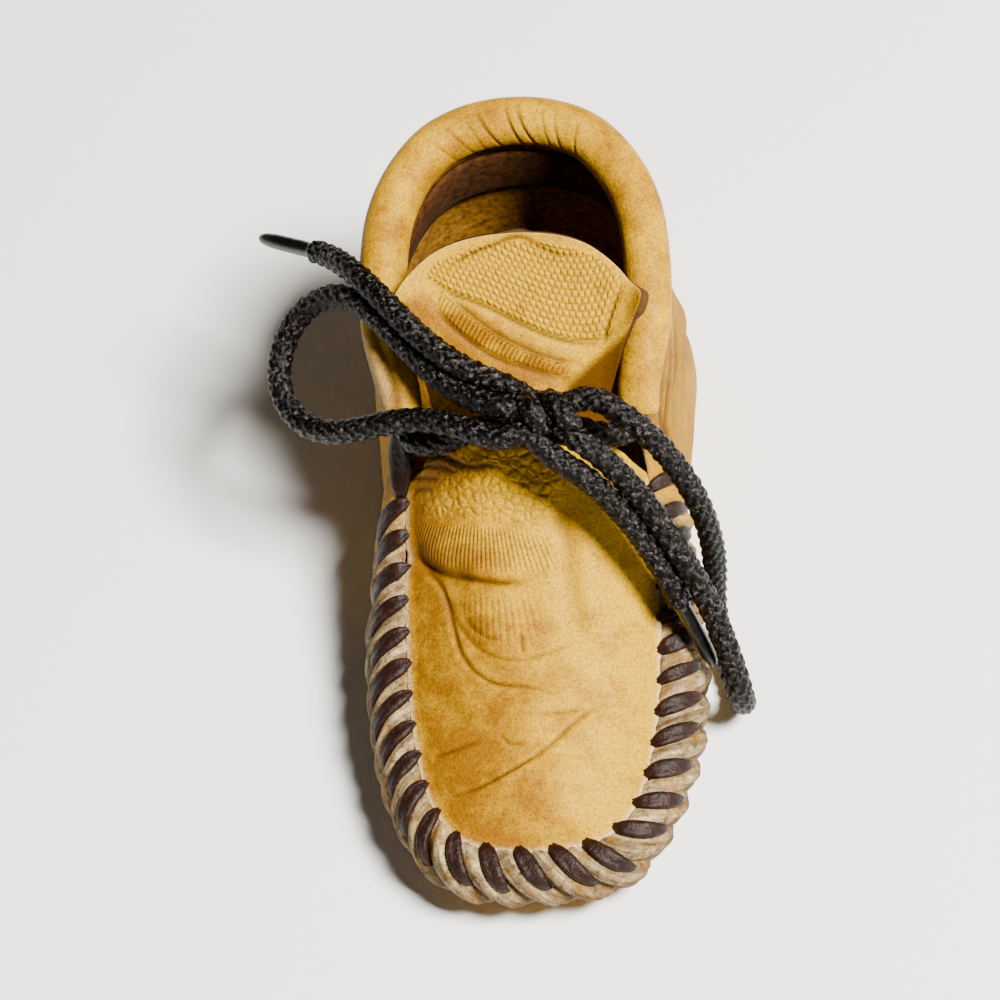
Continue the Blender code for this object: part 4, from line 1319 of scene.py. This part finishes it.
class MOCCASIN_OT_lace(Operator):
    """Builds the braided lace: crossing, knot, two loops, two ends and their tips"""

    bl_idname = "moccasin.lace"
    bl_label = "Braided lace and bow"

    def execute(self, context):
        sizes, colours = context.scene.moccasin_sizes, context.scene.moccasin_colours
        radius = 0.5 * sizes.lace_diameter / MM
        braid = braid_polyester(colours)
        plastic = tip_plastic(colours)
        knot = self.knot(radius, braid)
        half = (CROSSING_MOUTH,) + CROSSING
        crossing = half + tuple((-x, y, z) for x, y, z in half[-2::-1])
        self.strand("lace_crossing", crossing, radius, braid)
        left_tip = self.tip("aglet_left", AGLET_LEFT, plastic)
        right_tip = self.tip("aglet_right", AGLET_RIGHT, plastic)
        free = (
            ("lace_loop_left", LOOP_LEFT_ROOTS[:1] + LOOP_LEFT + LOOP_LEFT_ROOTS[1:], "object", [knot]),
            ("lace_loop_right", LOOP_RIGHT_ROOTS[:1] + LOOP_RIGHT + LOOP_RIGHT_ROOTS[1:], "object", []),
            ("lace_end_left", (END_LEFT_ROOT,) + END_LEFT + AGLET_LEFT[:1], "fitting", [left_tip]),
            ("lace_end_right", (END_RIGHT_ROOT,) + END_RIGHT + AGLET_RIGHT[:1], "fitting", [right_tip]),
        )
        for node, rows, far_end, pieces in free:
            piece, path = self.strand(node, rows, radius, braid)
        return {"FINISHED"}

    def strand(self, node, rows, radius, material):
        """One stretch of braid along a route, standing for a solid of the part."""
        path = smooth_route(rows, ROUTE_SPACING, ROUTE_SOFTENING)
        grid = close_ends(braided_tube(path, radius))
        piece = make_piece(node + "_braid", grid, tube_faces(*grid.shape[:2], False), [material])
        place_piece(piece, "black_lace", node)
        return piece, path

    def knot(self, radius, material):
        """Two leaning rings of braid round the strands: ellipses in y and z whose x falls as y grows."""
        phi = round_angles(84)
        grids = []
        for offset, lean, deep, tall in KNOT_RINGS:
            ring = np.stack([offset - lean * np.cos(phi), deep * np.cos(phi), tall * np.sin(phi)], axis=1)
            grids.append(braided_tube(KNOT_CENTRE + ring, radius, True))
        rings, sides = grids[0].shape[:2]
        one = tube_faces(rings, sides, True)
        faces = np.vstack([one, one + rings * sides])
        piece = make_piece("lace_knot_wraps", np.stack(grids), faces, [material])
        place_piece(piece, "black_lace", "lace_knot")
        return piece

    def tip(self, node, rows, material):
        """A tip from a lip at the braid to a rounded point: r = R sqrt(1 - u^8) past the lip."""
        start, end = np.array(rows[0]), np.array(rows[1])
        u = np.concatenate([[0.0, 0.012], np.linspace(0.03, 0.97, 40), [0.985, 0.994, 0.999]])
        size = AGLET_RADIUS * np.sqrt(1.0 - u**8) * (1.0 + 0.16 * bell(u - 0.03, 0.03))
        path = start + u[:, None] * (end - start)
        _, across, other = carried_frames(path, False)
        ring = ring_directions(across, other, round_angles(AGLET_SIDES))
        grid = close_ends(path[:, None, :] + ring * size[:, None, None])
        piece = make_piece(node + "_tip", grid, tube_faces(*grid.shape[:2], False), [material])
        place_piece(piece, "lace_tip", node)
        return piece


class MOCCASIN_OT_stage(Operator):
    """Sets the pale floor, the studio light and the camera at the photograph's angle"""

    bl_idname = "moccasin.stage"
    bl_label = "Stage, light and camera"

    def execute(self, context):
        scene = context.scene
        corners = np.array(((-1.0, -1.0, 0.0), (1.0, -1.0, 0.0), (1.0, 1.0, 0.0), (-1.0, 1.0, 0.0)))
        paper = floor_paper(scene.moccasin_colours)
        floor = make_piece("studio_floor", FLOOR_HALF * corners, np.array(((0, 1, 2, 3),)), [paper])
        world = bpy.data.worlds.new("studio_air")
        world.use_nodes = True
        air = world.node_tree.nodes["Background"]
        air.inputs["Color"].default_value = AIR_COLOUR
        air.inputs["Strength"].default_value = AIR_STRENGTH
        scene.world = world
        self.soft_box("key_light", *KEY_LIGHT)
        self.soft_box("fill_light", *FILL_LIGHT)
        camera = bpy.data.cameras.new("photo_camera")
        camera.sensor_width = SENSOR
        camera.lens = LENS
        camera.clip_start = 0.01
        view = bpy.data.objects.new("photo_camera", camera)
        back = (Vector(EYE) - Vector(AIM)).normalized()
        right = Vector(IMAGE_RIGHT)
        right = (right - back * right.dot(back)).normalized()
        turn = Matrix((right, back.cross(right), back)).transposed()
        view.matrix_world = Matrix.Translation(EYE) @ turn.to_4x4()
        scene.collection.objects.link(view)
        scene.camera = view
        return {"FINISHED"}

    def soft_box(self, name, place, size, power, colour):
        """A square area light aimed at the middle of the shoe."""
        light = bpy.data.lights.new(name, "AREA")
        light.size = size
        light.energy = power
        light.color = colour
        lamp = bpy.data.objects.new(name, light)
        lamp.location = place
        lamp.rotation_euler = (Vector(LIGHT_AIM) - Vector(place)).to_track_quat("-Z", "Y").to_euler()
        bpy.context.scene.collection.objects.link(lamp)


class MOCCASIN_PT_sidebar(Panel):
    """Lists the moccasin's pieces and settings"""

    bl_idname = "MOCCASIN_PT_sidebar"
    bl_label = "Baby moccasin"
    bl_space_type = "VIEW_3D"
    bl_region_type = "UI"
    bl_category = "Moccasin"

    def draw(self, context):
        for operator in OPERATORS:
            self.layout.operator(operator.bl_idname)
        for group in (context.scene.moccasin_sizes, context.scene.moccasin_colours):
            for name in group.__annotations__:
                self.layout.prop(group, name)


OPERATORS = (
    MOCCASIN_OT_stage,
    MOCCASIN_OT_lace,
    MOCCASIN_OT_bottom,
    MOCCASIN_OT_plug,
    MOCCASIN_OT_collar,
    MOCCASIN_OT_thongs,
)
CLASSES = (MoccasinColours, MoccasinSizes) + OPERATORS + (MOCCASIN_PT_sidebar,)


def register():
    """Registers the classes and hangs the settings on the scene."""
    for cls in CLASSES:
        bpy.utils.register_class(cls)
    bpy.types.Scene.moccasin_colours = PointerProperty(type=MoccasinColours)
    bpy.types.Scene.moccasin_sizes = PointerProperty(type=MoccasinSizes)


def unregister():
    """Takes the settings and classes away again."""
    del bpy.types.Scene.moccasin_sizes
    del bpy.types.Scene.moccasin_colours
    for cls in reversed(CLASSES):
        bpy.utils.unregister_class(cls)


def main():
    """Builds every piece in order."""
    register()
    bpy.ops.moccasin.stage()
    bpy.ops.moccasin.lace()
    bpy.ops.moccasin.bottom()
    bpy.ops.moccasin.plug()
    bpy.ops.moccasin.collar()
    bpy.ops.moccasin.thongs()


if __name__ == "__main__":
    main()
